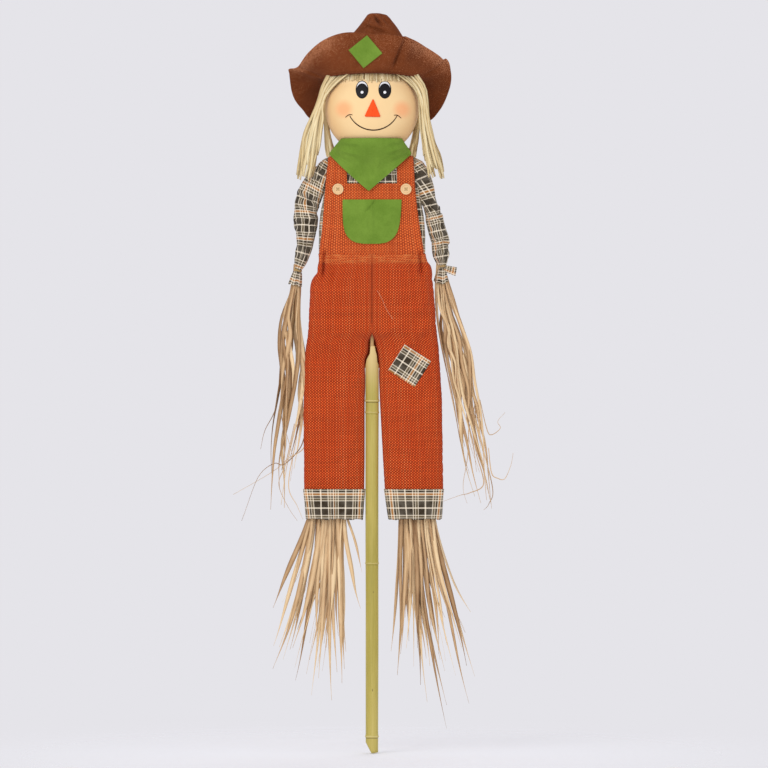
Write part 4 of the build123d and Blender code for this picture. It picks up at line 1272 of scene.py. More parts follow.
def overalls_bib():
    """Front panel, straps over the shoulders and back panel as one cloth, cut out at the neck."""
    front_rows, bend = 68, np.linspace(0.06, 1, 13) * math.pi / 2
    heights = np.concatenate([np.linspace(-13, BIB_BEND, front_rows), BIB_BEND + 15.5 * np.sin(bend)])
    turn = np.concatenate([np.ones(front_rows), np.cos(bend)])
    heights = np.concatenate([heights, heights[-2::-1]])
    turn = np.concatenate([turn, -turn[-2::-1]])
    inner = np.linspace(-1, 1, 33)
    outer = np.linspace(0, 1, STRAP_CELLS + 1)[1:]
    rows = []
    for h, t in zip(heights, turn):
        left, right = (float(BIB_EDGES[s](h)[0]) for s in ("left", "right"))
        x = np.concatenate([-(STRAP_INNER + (right - STRAP_INNER) * outer[::-1]), STRAP_INNER * inner,
                            STRAP_INNER + (left - STRAP_INNER) * outer])
        edge = np.minimum(right + x, left - x)
        if h > BIB_TOP:
            edge = np.minimum(edge, np.abs(np.abs(x) - STRAP_INNER))
        hem = 0.55 * (1 - smooth(edge, 5.5, 7.0)) + 0.25 * bump(edge, 6.3, 0.6)
        y = -torso_y(x, min(h, BIB_BEND), 1.7) * t
        z = WAIST + h + 0 * x
        p = np.stack([x, y, z], axis=1)
        puff = 0.9 * rough(p * (1, 1, 0.8), 42, 8) + 0.35 * rough(p, 15, 4)
        p[:, 1] -= (puff * 0.6 + hem + 0.4 - waist_pleats(x, z)) * t
        p[:, 2] += (hem + 0.4) * math.sqrt(max(0.0, 1 - t * t))
        rows.append(p)
    points = np.array(rows)
    cells = np.ones((len(rows) - 1, points.shape[1] - 1), bool)
    for r in range(len(rows) - 1):
        if min(heights[r], heights[r + 1]) >= BIB_TOP - 1:
            cells[r, STRAP_CELLS:-STRAP_CELLS] = False
    obj = grid("overalls_bib_cloth", points, cloth_uv(points), keep=cells)
    drop_loose(obj)
    thicken(obj, 1.1, 1)
    declare_sheet(obj, 0.174, 0.388, "hung", ["shirt_body_cloth"])
    return dress(obj, "burlap_bib", "burlap", "figure", ["overalls_bib"])


POCKET = Rows([(0, 13, 10), (1.2, 22, 19), (4, 30.5, 27.5), (9, 37.5, 34.5), (17, 43.3, 40.5),
               (28, 46.6, 44.3), (44, 48.0, 47.0), (60, 48.4, 48.2), (73, 48.4, 48.8)])
POCKET_END = low("bib_pocket", "z")
POCKET_FOLDS = ((-1.5, POCKET_END + 72, 2.5, POCKET_END + 12, 1.3, 1.5),
                (8, POCKET_END + 74, -14, POCKET_END + 48, 1.3, -1.6),
                (-30, POCKET_END + 60, -20, POCKET_END + 30, 3.0, 0.9),
                (20, POCKET_END + 30, 34, POCKET_END + 52, 4.0, 1.0),
                (-8, POCKET_END + 40, -3, POCKET_END + 14, 1.5, -1.0))


def pocket(bib_front):
    """Green felt pocket, sewn on round its edge, with a faint fold down its middle."""
    heights = np.concatenate([[0, 0.4, 1.2, 2.4], np.linspace(4, 73, 40)])
    rows = []
    for h in heights:
        left, right = POCKET(h)
        x = -left + (left + right) * np.linspace(0, 1, 56)
        rows.append(np.stack([x, 0 * x, POCKET_END + h + 0 * x], axis=1))
    points = np.array(rows)
    points[..., 1] = bib_front(points[..., 0], points[..., 2])
    soften(points, 6)
    x, z = points[..., 0], points[..., 2]
    edge = np.minimum(np.minimum(z - POCKET_END, 73 - (z - POCKET_END)), 48.5 - np.abs(x))
    fold = creases(x, z, POCKET_FOLDS)
    points[..., 1] -= 1.3 + 1.3 * smooth(edge, 0, 16) + 0.9 * rough(points, 20, 6) + 1.5 * fold
    obj = grid("felt_pocket", points, cloth_uv(points))
    thicken(obj, 1.5, 0)
    declare_sheet(obj, 0.098, 0.078, "laid", ["overalls_bib_cloth"])
    return dress(obj, "green_felt", "green_felt", "figure", ["bib_pocket"])


def button_thread(side):
    """Crossed stitches through a button's four holes."""
    lowest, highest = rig.box(f"button_{side}")
    middle = (lowest + highest) / 2 / MM
    face = lowest.y / MM + 1.25
    straws = []
    for turn in (45, 135):
        a = np.array([math.cos(math.radians(turn)), math.sin(math.radians(turn))]) * 2.3
        for shift in (-0.28, 0.28):
            b = np.array([-a[1], a[0]]) / 2.3 * shift
            t = np.linspace(-1, 1, 9)
            depth = face - 0.75 * (1 - t ** 4) + 0.5 * (np.abs(t) > 0.9)
            path = np.stack([middle.x + a[0] * t + b[0], depth, middle.z + a[1] * t + b[1]], axis=1)
            straws.append((strand(path, np.full(9, 0.5), 0.35, 0.5, np.zeros(9)), 0.5))
    obj = bundle(f"button_thread_{side}", straws)
    return dress(obj, "thread", "thread", "figure")


# ---- trousers ---------------------------------------------------------------
# height, outer edge, inner edge, half depth, y of the middle, roundness of the inner side
TROUSERS = {
    "left": Rows([(WAIST + 3, 88.5, 0, 30.4, 0, 0.06), (WAIST - 8, 91, 0, 30.6, 0, 0.08),
                  (781, 96, 0, 30.4, 0, 0.10), (754, 100, 0, 29.8, 0, 0.10),
                  (730, 102.2, 0, 28.9, 0.4, 0.10), (710, 104, 0, 27.5, 1, 0.10),
                  (690, 105, 0, 25.6, 2, 0.11), (668, 107, 0, 23.6, 3.1, 0.2),
                  (661, 107.8, 3.0, 23, 3.5, 0.75), (655, 108.6, 5.6, 22.4, 3.8, 0.95),
                  (647, 109.6, 6.8, 21.6, 4.1, 0.95), (636, 110.6, 9.4, 20.6, 4.5, 0.95),
                  (626, 111.2, 10.4, 19.9, 4.7, 0.95), (617, 112, 11.5, 19.4, 4.9, 0.95),
                  (606, 112.6, 11.2, 18.9, 5, 1), (569, 115, 12.2, 18.1, 5, 1),
                  (540, 115.5, 13.6, 18, 5, 1), (506, 116, 15.5, 17.5, 5, 1),
                  (460, 117, 18.0, 16.5, 5, 1), (411, 117.5, 21, 15, 5, 1)]),
    "right": Rows([(WAIST + 3, 88.5, 0, 30.4, 0, 0.06), (WAIST - 8, 87.5, 0, 30.6, 0, 0.08),
                   (772, 92, 0, 30.2, 0, 0.10), (754, 100, 0, 29.8, 0, 0.10),
                   (730, 102.2, 0, 28.9, 0.4, 0.10), (710, 103.4, 0, 27.5, 1, 0.10),
                   (690, 104.2, 0, 25.6, 2, 0.11), (668, 105.6, 0, 23.6, 3.1, 0.2),
                   (661, 106.4, 3.0, 23, 3.5, 0.75), (655, 107.4, 5.4, 22.4, 3.8, 0.95),
                   (647, 108.8, 5.6, 21.6, 4.1, 0.95), (638, 109.8, 6.2, 20.8, 4.4, 0.95),
                   (627, 110.6, 10.2, 20, 4.7, 0.95), (617, 111, 11.3, 19.4, 4.9, 0.95),
                   (600, 111.5, 10.9, 18.7, 5, 1), (575, 112.3, 11.0, 18.1, 5, 1),
                   (560, 112.6, 11.6, 18, 5, 1), (540, 113, 11.8, 18, 5, 1),
                   (506, 112.7, 11.8, 17.5, 5, 1), (460, 112.3, 11.9, 16.5, 5, 1),
                   (411, 112, 12.5, 15, 5, 1)]),
}
LEG_FOLDS = {"left": ((10, 662, 52, 690, 5, -1.5), (14, 640, 60, 662, 6, 1.1),
                      (16, 600, 70, 566, 8, -1.2), (108, 560, 50, 530, 8, -1.0),
                      (22, 480, 90, 452, 8, 0.9), (104, 690, 62, 660, 8, -1.2)),
             "right": ((-10, 662, -50, 694, 5, -1.5), (-14, 642, -58, 660, 6, 1.2),
                       (-104, 668, -50, 640, 7, -1.4), (-16, 596, -74, 560, 8, -1.2),
                       (-108, 545, -50, 520, 8, -1.0), (-20, 470, -92, 440, 8, 0.9))}


def trouser_half(side):
    """One side of the trousers from the waist seam to the hem, closed at the middle seam."""
    sign = SIDES[side]
    heights = np.linspace(WAIST + 3, HEM, 178)
    s = 0.5 - 0.5 * np.cos(np.linspace(0.02, 1, 50) * math.pi)
    s = 0.002 + 0.998 * s
    rows = []
    for z in heights:
        outer, inner, depth, y0, round_in = TROUSERS[side](z)
        exponent = 3.4 + 1.2 * float(smooth(z, WAIST - 70, WAIST - 8))
        outside = (1 - s ** exponent) ** (1 / exponent)
        inside = 1 - round_in * (1 - (1 - (1 - s) ** exponent) ** (1 / exponent))
        profile = depth * outside * inside
        x = inner + (outer - inner) * s
        front = np.stack([sign * x, y0 - profile, z + 0 * x], axis=1)
        back = np.stack([sign * x, y0 + profile, z + 0 * x], axis=1)[-2::-1]
        rows.append(np.concatenate([front, back]))
    points = np.array(rows)
    x, y, z = points[..., 0], points[..., 1], points[..., 2]
    middle = np.array([TROUSERS[side](h)[3] for h in heights])[:, None]
    out = np.sign(y - middle) * smooth(np.abs(y - middle), 0, 10)
    slack = smooth(z, WAIST + 3, WAIST - 25) * smooth(z, HEM - 2, HEM + 25)
    near = np.where(y < middle, 1.0, 0.0)
    relief = 1.7 * rough(points * (1, 1, 0.55), 55, 11) + 0.8 * rough(points * (1, 1, 0.8), 22, 7)
    relief *= slack
    relief += 0.25 * rough(points, 9, 9)
    relief -= near * creases(x, z, LEG_FOLDS[side]) + waist_pleats(x, z)
    gather = smooth(z, WAIST - 26, WAIST) * 0.45 * np.sin(x / 2.6 + 1.5 * np.sin(x / 11))
    points[..., 1] += out * (relief + gather)
    wavy = sign * 0.5 * rough(points * (0, 0, 1) + (7, 3, 0), 26, 13)
    points[..., 0] += wavy * smooth(np.abs(x), 60, 100) * slack
    obj = grid(f"trousers_{side}", points, cloth_uv(points, closed=True), wrap=True)
    firm = np.maximum.reduce([smooth(z, WAIST - 14, WAIST - 2), smooth(z, HEM + 14, HEM + 2),
                              smooth(np.abs(x), 26, 14), 0.08 + 0.3 * smooth(np.abs(x), 88, 104)])
    settle(obj, firm.ravel(), 0.014, 1.0, 14, 4.0, bending=14)
    return obj


def seam_line(name, path, radius, material, slot, body):
    """A thin thread along a path."""
    count = len(path)
    obj = bundle(name, [(strand(path, np.full(count, 2 * radius), radius, 0.8, np.zeros(count)), 0.6)])
    return dress(obj, material, slot, body)


def crotch_gusset():
    """Cloth behind the pole's tip that joins the two legs at the top."""
    rows = []
    for z in np.linspace(686, 612, 22):
        x = np.linspace(-12.4, 12.4, 15)
        y = 15.4 + 1.2 * np.cos(x / 12.4 * 1.3) + 0.3 * np.sin(z / 5 + x / 4)
        rows.append(np.stack([x, y, z + 0 * x], axis=1))
    points = np.array(rows)
    obj = grid("crotch_gusset", points, cloth_uv(points))
    thicken(obj, 1.2, 0)
    declare_sheet(obj, 0.025, 0.075, "hung", ["trousers_left"])
    return dress(obj, "burlap", "burlap", "figure")


def cuff(side):
    """A band of shirt cloth sewn to the hem of a leg, with a slightly frayed edge."""
    sign = SIDES[side]
    mouth_in, mouth_out = {"left": (28.5, 112.5), "right": (16.5, 106.5)}[side]
    heights = np.linspace(HEM + 1.5, CUFF_END + 1.5, 26)
    t = (HEM - heights) / (HEM - CUFF_END)
    hem_out, hem_in, depth, y0, _ = TROUSERS[side](HEM)
    outer, inner = hem_out + (mouth_out - hem_out) * t + 0.4, hem_in + (mouth_in - hem_in) * t - 0.4
    centre = [(sign * (a + b) / 2, y0, z) for a, b, z in zip(outer, inner, heights)]
    roundness = [3.4] * len(heights)

    def relief(points):
        turn = np.arctan2(points[..., 1] - y0, points[..., 0] - np.array(centre)[:, None, 0])
        low_down = smooth(points[..., 2], HEM, CUFF_END)
        pleats = 0.9 * np.sin(9 * turn + sign) + 0.6 * np.sin(17 * turn)
        return pleats * low_down + 0.4 * rough(points, 16, 3)
    half, thick = (outer - inner) / 2, depth + 0.5 - 1.5 * t
    obj, _ = tube(f"cuff_{side}", centre, half, thick, roundness, 110, relief)
    for vertex in obj.data.vertices:
        x, y, z = vertex.co / MM
        if z < CUFF_END + 3:
            vertex.co.z += (1.0 * math.sin(x / 6 + y / 5) + 0.5 * math.sin(x / 2.3)) * MM
    shift_check(obj, 0, -7)
    thicken(obj, 0.9, -1)
    declare_sheet(obj, 0.224, 0.050, "hung", [f"trousers_{side}"])
    return dress(obj, "plaid", "plaid", f"leg_{side}", [f"leg_cuff_{side}"])


def knee_patch(leg_front):
    """A square of shirt cloth glued on askew, its check parallel to its edges."""
    middle = (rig.box("knee_patch")[0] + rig.box("knee_patch")[1]) / 2 / MM
    angle = math.radians(-32.7)
    half_width, half_height = 25.8, 25.2
    a = np.linspace(-half_width, half_width, 30)
    b = np.linspace(half_height, -half_height, 30)
    aa, bb = np.meshgrid(a, b)
    x = middle.x + aa * math.cos(angle) - bb * math.sin(angle)
    z = middle.z + aa * math.sin(angle) + bb * math.cos(angle)
    points = np.stack([x, leg_front(x, z), z], axis=2)
    soften(points, 3)
    edge = np.minimum(half_width - np.abs(aa), half_height - np.abs(bb))
    points[..., 1] -= 0.55 + 0.5 * smooth(edge, 0, 5) + 0.25 * rough(points, 12, 4)
    obj = grid("patch_knee", points, np.stack([(aa - 13.9) * MM, (bb + 8.5) * MM], axis=2))
    thicken(obj, 0.7, 0)
    declare_sheet(obj, 0.052, 0.051, "laid", ["trousers_left"])
    return dress(obj, "plaid", "plaid", "leg_left", ["knee_patch"])


# ---- sleeves ----------------------------------------------------------------
# down the sleeve's middle: outwards, up, half width, half depth
SLEEVES = {
    "left": [(64, 957, 7, 6), (67, 950, 13, 12), (72, 941, 16, 15), (79, 926, 17, 17),
             (86, 908, 16.5, 17), (91.5, 891, 15.2, 16.5), (95.5, 876, 13.8, 16),
             (100, 857, 14.6, 15.5), (104, 840, 14.3, 15), (108.5, 822, 15.3, 14.5),
             (111.5, 806, 14.6, 13), (113.8, 794, 12.2, 10.5), (115, 786, 8.6, 7.8),
             (115.2, 780, 6.3, 5.6), (114.8, 774, 5.4, 4.8)],
    "right": [(62, 957, 8, 6), (66, 950, 14, 12), (72, 941, 17, 15), (82, 927, 19.4, 17),
              (92, 910, 20.2, 17.5), (99, 895, 20.6, 17.5), (104, 880, 20.2, 17),
              (106.5, 862, 18.2, 16.5), (107.5, 845, 18.8, 16), (108.5, 828, 17.0, 14.5),
              (110.5, 812, 14.4, 13), (114.2, 797, 12, 10.5), (118.6, 785, 9.0, 8),
              (121.8, 776, 6.4, 6), (123.8, 767, 5.3, 4.8)],
}
# in the front view, outwards from the middle: raised lips have a negative depth
SLEEVE_FOLDS = {"left": ((76, 934, 98, 906, 3.0, 2.6), (82, 934, 104, 902, 3.0, -1.8),
                         (84, 896, 113, 876, 3.4, -3.0), (84, 889, 112, 869, 2.2, 3.2),
                         (87, 868, 112, 858, 2.6, 1.8), (87, 862, 115, 848, 3.4, -2.2),
                         (92, 842, 120, 850, 2.4, 1.6), (92, 833, 121, 836, 3.2, -1.6),
                         (93, 818, 118, 828, 2.6, 2.2), (101, 798, 107, 846, 2.2, 2.0),
                         (106, 792, 112, 832, 2.0, -1.6), (112, 786, 116, 830, 2.2, 2.2),
                         (119, 788, 123, 818, 2.0, 1.8)),
                "right": ((72, 930, 104, 917, 3.2, 2.2), (76, 938, 108, 926, 3.4, -1.6),
                          (86, 893, 122, 902, 4.2, -4.4), (88, 883, 121, 893, 2.4, 5.0),
                          (90, 874, 124, 884, 3.0, -2.2), (92, 868, 124, 875, 2.2, 2.4),
                          (90, 854, 126, 862, 3.2, -2.0), (90, 846, 124, 848, 2.6, 2.0),
                          (94, 832, 124, 836, 3.0, -1.6), (106, 795, 102, 842, 2.4, 2.4),
                          (112, 792, 110, 836, 2.0, -1.6), (117, 786, 114, 828, 2.2, 2.2),
                          (123, 782, 121, 812, 2.0, 1.6))}
SLEEVE_PLEATS = 11


def sleeve_line(side):
    """A sleeve's middle line, half widths, half depths, and the direction across it in front view."""
    table = np.array(SLEEVES[side], float)
    along = np.concatenate([[0], np.cumsum(np.hypot(np.diff(table[:, 0]), np.diff(table[:, 1])))])
    end = along[-1]
    run = np.concatenate([np.linspace(0, 22, 12), np.linspace(24, end - 26, 74),
                          np.linspace(end - 25, end, 18)])
    x, z, wide, deep = np.moveaxis(Rows(np.column_stack([along, table]))(run), -1, 0)
    dx, dz = np.gradient(x, run), np.gradient(z, run)
    return x, z, wide, deep, -dz / np.hypot(dx, dz), dx / np.hypot(dx, dz), end - run


def sleeve(side):
    """A lightly filled sleeve from the armhole to the tie at the wrist."""
    sign, count = SIDES[side], 84
    x, z, wide, deep, across_x, across_z, left_to_go = sleeve_line(side)
    turn = np.linspace(0, 2 * math.pi, count, endpoint=False)
    s = np.sign(np.sin(turn)) * np.abs(np.sin(turn)) ** 0.86
    c = np.sign(np.cos(turn)) * np.abs(np.cos(turn)) ** 0.86
    rows = []
    for i in range(len(x)):
        reach = wide[i] * s
        ring_x, ring_z = x[i] + across_x[i] * reach, z[i] + across_z[i] * reach
        rows.append(np.stack([ring_x, -deep[i] * c, ring_z], axis=1))
    points = np.array(rows)
    middle = np.stack([x, 0 * x, z], axis=1)[:, None, :]
    out = (points - middle) / np.linalg.norm(points - middle, axis=2, keepdims=True)
    full = smooth(wide, 5, 14)[:, None]
    pleats = 0.9 * np.sin(SLEEVE_PLEATS * turn) + 0.45 * np.sin(19 * turn + 1)
    pleats = smooth(left_to_go, 40, 4)[:, None] * pleats
    front = np.where(points[..., 1] < 4, 1.0, 0.4)
    relief = full * (1.3 * rough(points * (1, 1, 0.8), 24, 21 + sign) + 0.7 * rough(points, 11, 5))
    folds = creases(points[..., 0], points[..., 2], SLEEVE_FOLDS[side])
    relief += pleats * smooth(wide, 4, 9)[:, None] - front * full * folds
    points = points + out * relief[..., None]
    points[..., 0] *= sign
    flat = cloth_uv(points, closed=True)
    flat[..., 0] += sign * 0.3 * np.clip(left_to_go[:, None] - 90, 0, None) * MM
    obj = grid(f"sleeve_cloth_{side}", points, flat, wrap=True)
    whole = left_to_go[0]
    firm = np.maximum.reduce([smooth(left_to_go, 16, 4), smooth(left_to_go, whole - 22, whole - 8),
                              0.05 + 0 * left_to_go])
    settle(obj, np.repeat(firm, count), 0.06, 0.8, 16, 4.0)
    cap_ends(obj, count, len(x))
    dress(obj, "plaid", "plaid", None, [f"sleeve_{side}", f"arm_padding_{side}"])
    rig.padded(obj, 0.5)
    start, end = (sign * 0.076, 0, 0.955), (sign * 0.094, 0, 0.925)
    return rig.blend(obj, "figure", f"arm_{side}", start, end)


def wrist_tie(side):
    """Two turns of thread round the gathered wrist."""
    x, z, wide, deep, across_x, across_z, left_to_go = sleeve_line(side)
    at = np.argmin(np.abs(left_to_go - 6))
    t = np.linspace(0, 1, 120)
    turn = t * 2.4 * 2 * math.pi
    reach = (wide[at] + 0.8) * np.sin(turn)
    path = np.stack([SIDES[side] * (x[at] + across_x[at] * reach), -(deep[at] + 0.8) * np.cos(turn),
                     z[at] + across_z[at] * reach + 1.6 - 3.2 * t + 0.2 * np.sin(5 * turn)], axis=1)
    obj = seam_line(f"wrist_thread_{side}", path, 0.55, "thread", "thread", f"arm_{side}")
    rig.replaces(obj, f"wrist_tie_{side}")


# how far below the tie a frill goes over from the arm's motion to the hand's
FRILL_BEND = 24.0
# a frill's lobes: tie end and mouth, each (outwards, up, half width, half depth, lean), and droop
FRILLS = {"left": [((114.8, 776, 5.8, 5.2, 0), (114.0, 754.5, 11.0, 9.0, 0), 3.8),
                   ((119.0, 776.5, 4.6, 5.0, 72), (138.6, 770.5, 6.2, 7.0, 80), 0.0)],
          "right": [((122.6, 771, 6.6, 5.6, 16), (127.2, 748.2, 10.6, 8.6, 15), 0.0)]}


def frill(side):
    """The sleeve's free end below the tie: a short pleated skirt round the raffia."""
    sign, count = SIDES[side], 72
    turn = np.linspace(0, 2 * math.pi, count, endpoint=False)
    whole = []
    for number, (tie, mouth, droop) in enumerate(FRILLS[side]):
        lines = []
        for t in np.linspace(0, 1, 18):
            x, z, wide, deep, lean = (
                a + (b - a) * t ** power for a, b, power in zip(tie, mouth, (1, 1, 0.7, 0.7, 1)))
            pleat = 0.8 * t ** 0.7 * (np.sin(7 * turn + number) + 0.6 * np.sin(12 * turn))
            across = (wide + pleat) * np.sin(turn)
            lean = math.radians(lean)
            drop = droop * t * (1 - np.sin(turn) ** 2) + 1.0 * t * np.sin(5 * turn + number)
            lines.append(np.stack([sign * (x + across * math.cos(lean)), -(deep + pleat) * np.cos(turn),
                                   z + across * math.sin(lean) - drop], axis=1))
        points = np.array(lines)
        obj = grid(f"sleeve_frill_{side}_{number}", points, cloth_uv(points, closed=True), wrap=True)
        thicken(obj, 0.7, 0)
        declare_sheet(obj, 0.060, 0.025, "gathered", [f"wrist_thread_{side}"])
        dress(obj, "plaid", "plaid")
        start = (sign * tie[0] * MM, 0, tie[1] * MM)
        whole.append(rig.blend(obj, f"arm_{side}", f"hand_{side}", start,
                              (start[0], 0, start[2] - FRILL_BEND * MM)))
    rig.replaces(whole[0], f"sleeve_ruffle_{side}")


# ---- hat --------------------------------------------------------------------
# angle round from the front towards the figure's left, slope above level, width of the brim
BRIM = [(-180, -55, 82), (-160, -52, 84), (-135, -40, 90), (-122, -36, 75), (-110, -27, 66),
        (-99, -2, 58.5), (-94, 7.9, 58.8), (-90, 13.7, 60.6), (-88, 14.6, 55), (-84, 16.2, 46.9),
        (-80, 20.5, 47), (-75, 24.9, 47.6), (-60, 36.7, 54.5), (-45, 51.1, 62.9), (-30, 60.8, 67.1),
        (-15, 71, 64.5), (0, 76, 61), (15, 69, 61.5), (30, 55.7, 63.9), (45, 57.9, 57.1),
        (60, 52.2, 50.8), (75, 36.9, 49.2), (81, 29.5, 50.5), (84, 27.2, 54.2), (92, 13, 53),
        (105, -18, 56), (120, -40, 71), (135, -45, 86), (160, -53, 84), (180, -55, 82)]
BRIM_AT = Rows(BRIM)
BRIM_COLUMNS, BRIM_ROWS = 300, 22
# how far the band rises over the middle of the forehead
BRIM_ARCH = 9.0


def brim_skin(angle, share, lift):
    """A point of the brim at an angle, a share of its width, and a distance off its lower side."""
    slope, width = (float(v) for v in BRIM_AT(angle))
    a, s = math.radians(angle), math.radians(slope)
    arch = BRIM_ARCH * max(0.0, math.cos(a)) ** 0.8
    base = np.array([BAND_W * math.sin(a), -BAND_D * math.cos(a), BAND_Z - 3 + arch])
    outward = np.array([math.sin(a), -math.cos(a), 0])
    up = np.array([0, 0, 1.0])
    bend = s * (0.86 + 0.26 * share)
    along = outward * math.cos(bend) + up * math.sin(bend)
    normal = up * math.cos(bend) - outward * math.sin(bend)
    return base + along * width * share + normal * lift


def hat_brim():
    """The wide brim, turned up in front with two curled ends and hanging behind."""
    rows, tint = [], []
    for share in np.linspace(0, 1, BRIM_ROWS):
        line, near = [], []
        for angle in np.linspace(-180, 180, BRIM_COLUMNS, endpoint=False):
            fold_at = 25 + 7 * share
            crease = 5.0 * bump(angle, fold_at, 4.0) + 4.5 * bump(angle, fold_at, 1.5)
            crease *= smooth(share, 0.02, 0.3) * (1 - 0.4 * smooth(share, 0.7, 1))
            crease += 4.6 * (bump(angle, -83, 2.6) + bump(angle, 84, 2.6)) * smooth(share, 0.05, 0.3)
            bulge = 1.6 * bump(angle, 38, 8) - 1.2 * bump(angle, -24, 9)
            bulge += 1.5 * bump(angle, -68, 7) * share
            p = brim_skin(angle, share, crease - bulge * share)
            line.append(p)
            # painted sheen: where the felt's pale flecks crowd, on the brim's front and outer part
            in_front = (0.25 + 0.75 * smooth(abs(angle), 22, 45)) * (1 - smooth(abs(angle), 84, 100))
            near.append(smooth(share, 0.35, 0.95) * in_front)
        line = np.array(line)
        line += 0.9 * rough(line, 30, 14)[:, None] * (0, -0.7, 0.7)
        rows.append(line)
        tint.append(near)
    points = np.array(rows)
    obj = grid("hat_brim_felt", points, cloth_uv(points, closed=True), wrap=True, tint=tint)
    thicken(obj, 2.0, 0)
    subdivide(obj, 1)
    declare_sheet(obj, 0.300, 0.280, "stretched", ["hat_crown_felt"])
    return dress(obj, "brown_felt", "brown_felt", "figure", ["hat_brim"])


# crown: height, middle x, middle y, half width, half depth
CROWN = Rows([(BAND_Z - 4, 0, 0, 79.5, 57), (BAND_Z + 12, 0, 0, 75.5, 55), (BAND_Z + 38, 3, 1, 62, 49),
              (BAND_Z + 55, 5.5, 2, 51, 42), (BAND_Z + 70, 7.5, 2, 41, 34),
              (BAND_Z + 84, 9.5, 2, 31, 25), (BAND_Z + 93, 9.5, 2, 24, 19.5),
              (BAND_Z + 99, 9, 1.5, 19, 15.5), (BAND_Z + 103.5, 7, 1, 13, 10.5),
              (BAND_Z + 105.5, 5, 1, 6.5, 5.5)])


CROWN_FOLDS = ((-2, BAND_Z + 100, -14, BAND_Z + 74, 2.2, 4.4),
               (-14, BAND_Z + 84, 34, BAND_Z + 66, 2.2, 4.6),
               (-12, BAND_Z + 89, 30, BAND_Z + 74, 2.6, -2.6),
               (-4, BAND_Z + 90, 4, BAND_Z + 66, 2.4, -3.0),
               (14, BAND_Z + 104, 32, BAND_Z + 80, 2.2, 3.6),
               (20, BAND_Z + 104, 37, BAND_Z + 82, 2.4, -2.0))


def hat_crown():
    """A cone-like crown with its tip pinched and folded in on itself."""
    heights = np.concatenate([np.linspace(BAND_Z - 4, BAND_Z + 84, 40),
                              np.linspace(BAND_Z + 86, BAND_Z + 105, 20)])
    columns, values = 110, CROWN(heights)
    middles = [(x, y, z) for z, (x, y, _, _) in zip(heights, values)]

    def relief(points):
        x, z = points[..., 0], points[..., 2] - BAND_Z
        turn = np.arctan2(points[..., 0] - 6, -points[..., 1])
        front = smooth(-points[..., 1], -4, 4)
        pit = front * (11.0 * bump(x, 9 - (z - 92) * 0.9, 3.0) * bump(z, 92, 8.0))
        fold = front * creases(x, points[..., 2], CROWN_FOLDS)
        dents = 1.5 * rough(points * (1, 1, 0.7), 24, 17)
        dents += 1.0 * np.sin(3 * turn + z / 16) * smooth(z, 20, 60)
        return dents * (1 - 0.6 * smooth(z, 88, 104)) - pit - fold
    obj, points = tube("hat_crown_felt", middles, values[:, 2], values[:, 3],
                       np.linspace(2.0, 2.3, len(heights)), columns, relief)
    forward = np.clip(-points[..., 1] / np.hypot(points[..., 0], points[..., 1]), 0, 1)
    rise = (BRIM_ARCH * forward ** 0.8 * (1 - smooth(points[..., 2], BAND_Z - 4, BAND_Z + 30))).ravel()
    for vertex, lift in zip(obj.data.vertices, rise):
        vertex.co.z += lift * MM
    cap_ends(obj, columns, len(heights))
    return dress(obj, "brown_felt", "brown_felt", "figure", ["hat_crown"])


# the diamond's top, right, bottom and left corners: x, and z above the band
HAT_DIAMOND = ((-8.0, 64.5), (17.2, 35.0), (-13.8, 11.0), (-38.2, 40.2))


def hat_patch(brim_front):
    """A green felt square on its corner, glued to the turned-up brim."""
    top, right, bottom, left = (np.array(c) for c in HAT_DIAMOND)
    steps = np.linspace(0, 1, 26)
    x, z = [], []
    for t in steps:
        a, b = top + (left - top) * t, right + (bottom - right) * t
        x.append(a[0] + (b[0] - a[0]) * steps)
        z.append(BAND_Z + a[1] + (b[1] - a[1]) * steps)
    x, z = np.array(x), np.array(z)
    points = np.stack([x, brim_front(x, z), z], axis=2)
    soften(points, 4)
    points[..., 1] -= 1.3
    obj = grid("felt_diamond", points, cloth_uv(points))
    thicken(obj, 1.4, 0)
    declare_sheet(obj, 0.040, 0.040, "laid", ["hat_brim_felt"])
    return dress(obj, "green_felt", "green_felt", "figure", ["hat_patch"])


# ---- scarf ------------------------------------------------------------------
SCARF_TIP_Z = 903.0
# the kite: height above its tip, and its two edges
SCARF_SPAN = np.array([(0, -5.8, -4.6), (12, -20, 9), (28, -38.2, 28.0), (44, -54.8, 46.4),
                       (60, -69.6, 63.6), (63, -70.0, 65.0), (68, -66, 61.5), (77, -58.5, 55),
                       (86.5, -50, 48.5)])
SCARF_FOLDS = ((-60, 972, -18, 960, 3.0, 2.6), (-66, 965, -30, 946, 3.2, -2.2),
               (-52, 984, -16, 978, 2.6, 2.4), (56, 976, 22, 964, 3.0, 2.4),
               (62, 966, 28, 948, 3.2, -2.0), (50, 985, 20, 980, 2.6, 2.0),
               (-6, 956, -2, 908, 8, -2.0), (10, 958, 6, 926, 4, 1.2), (-24, 950, -14, 926, 4, 1.2))


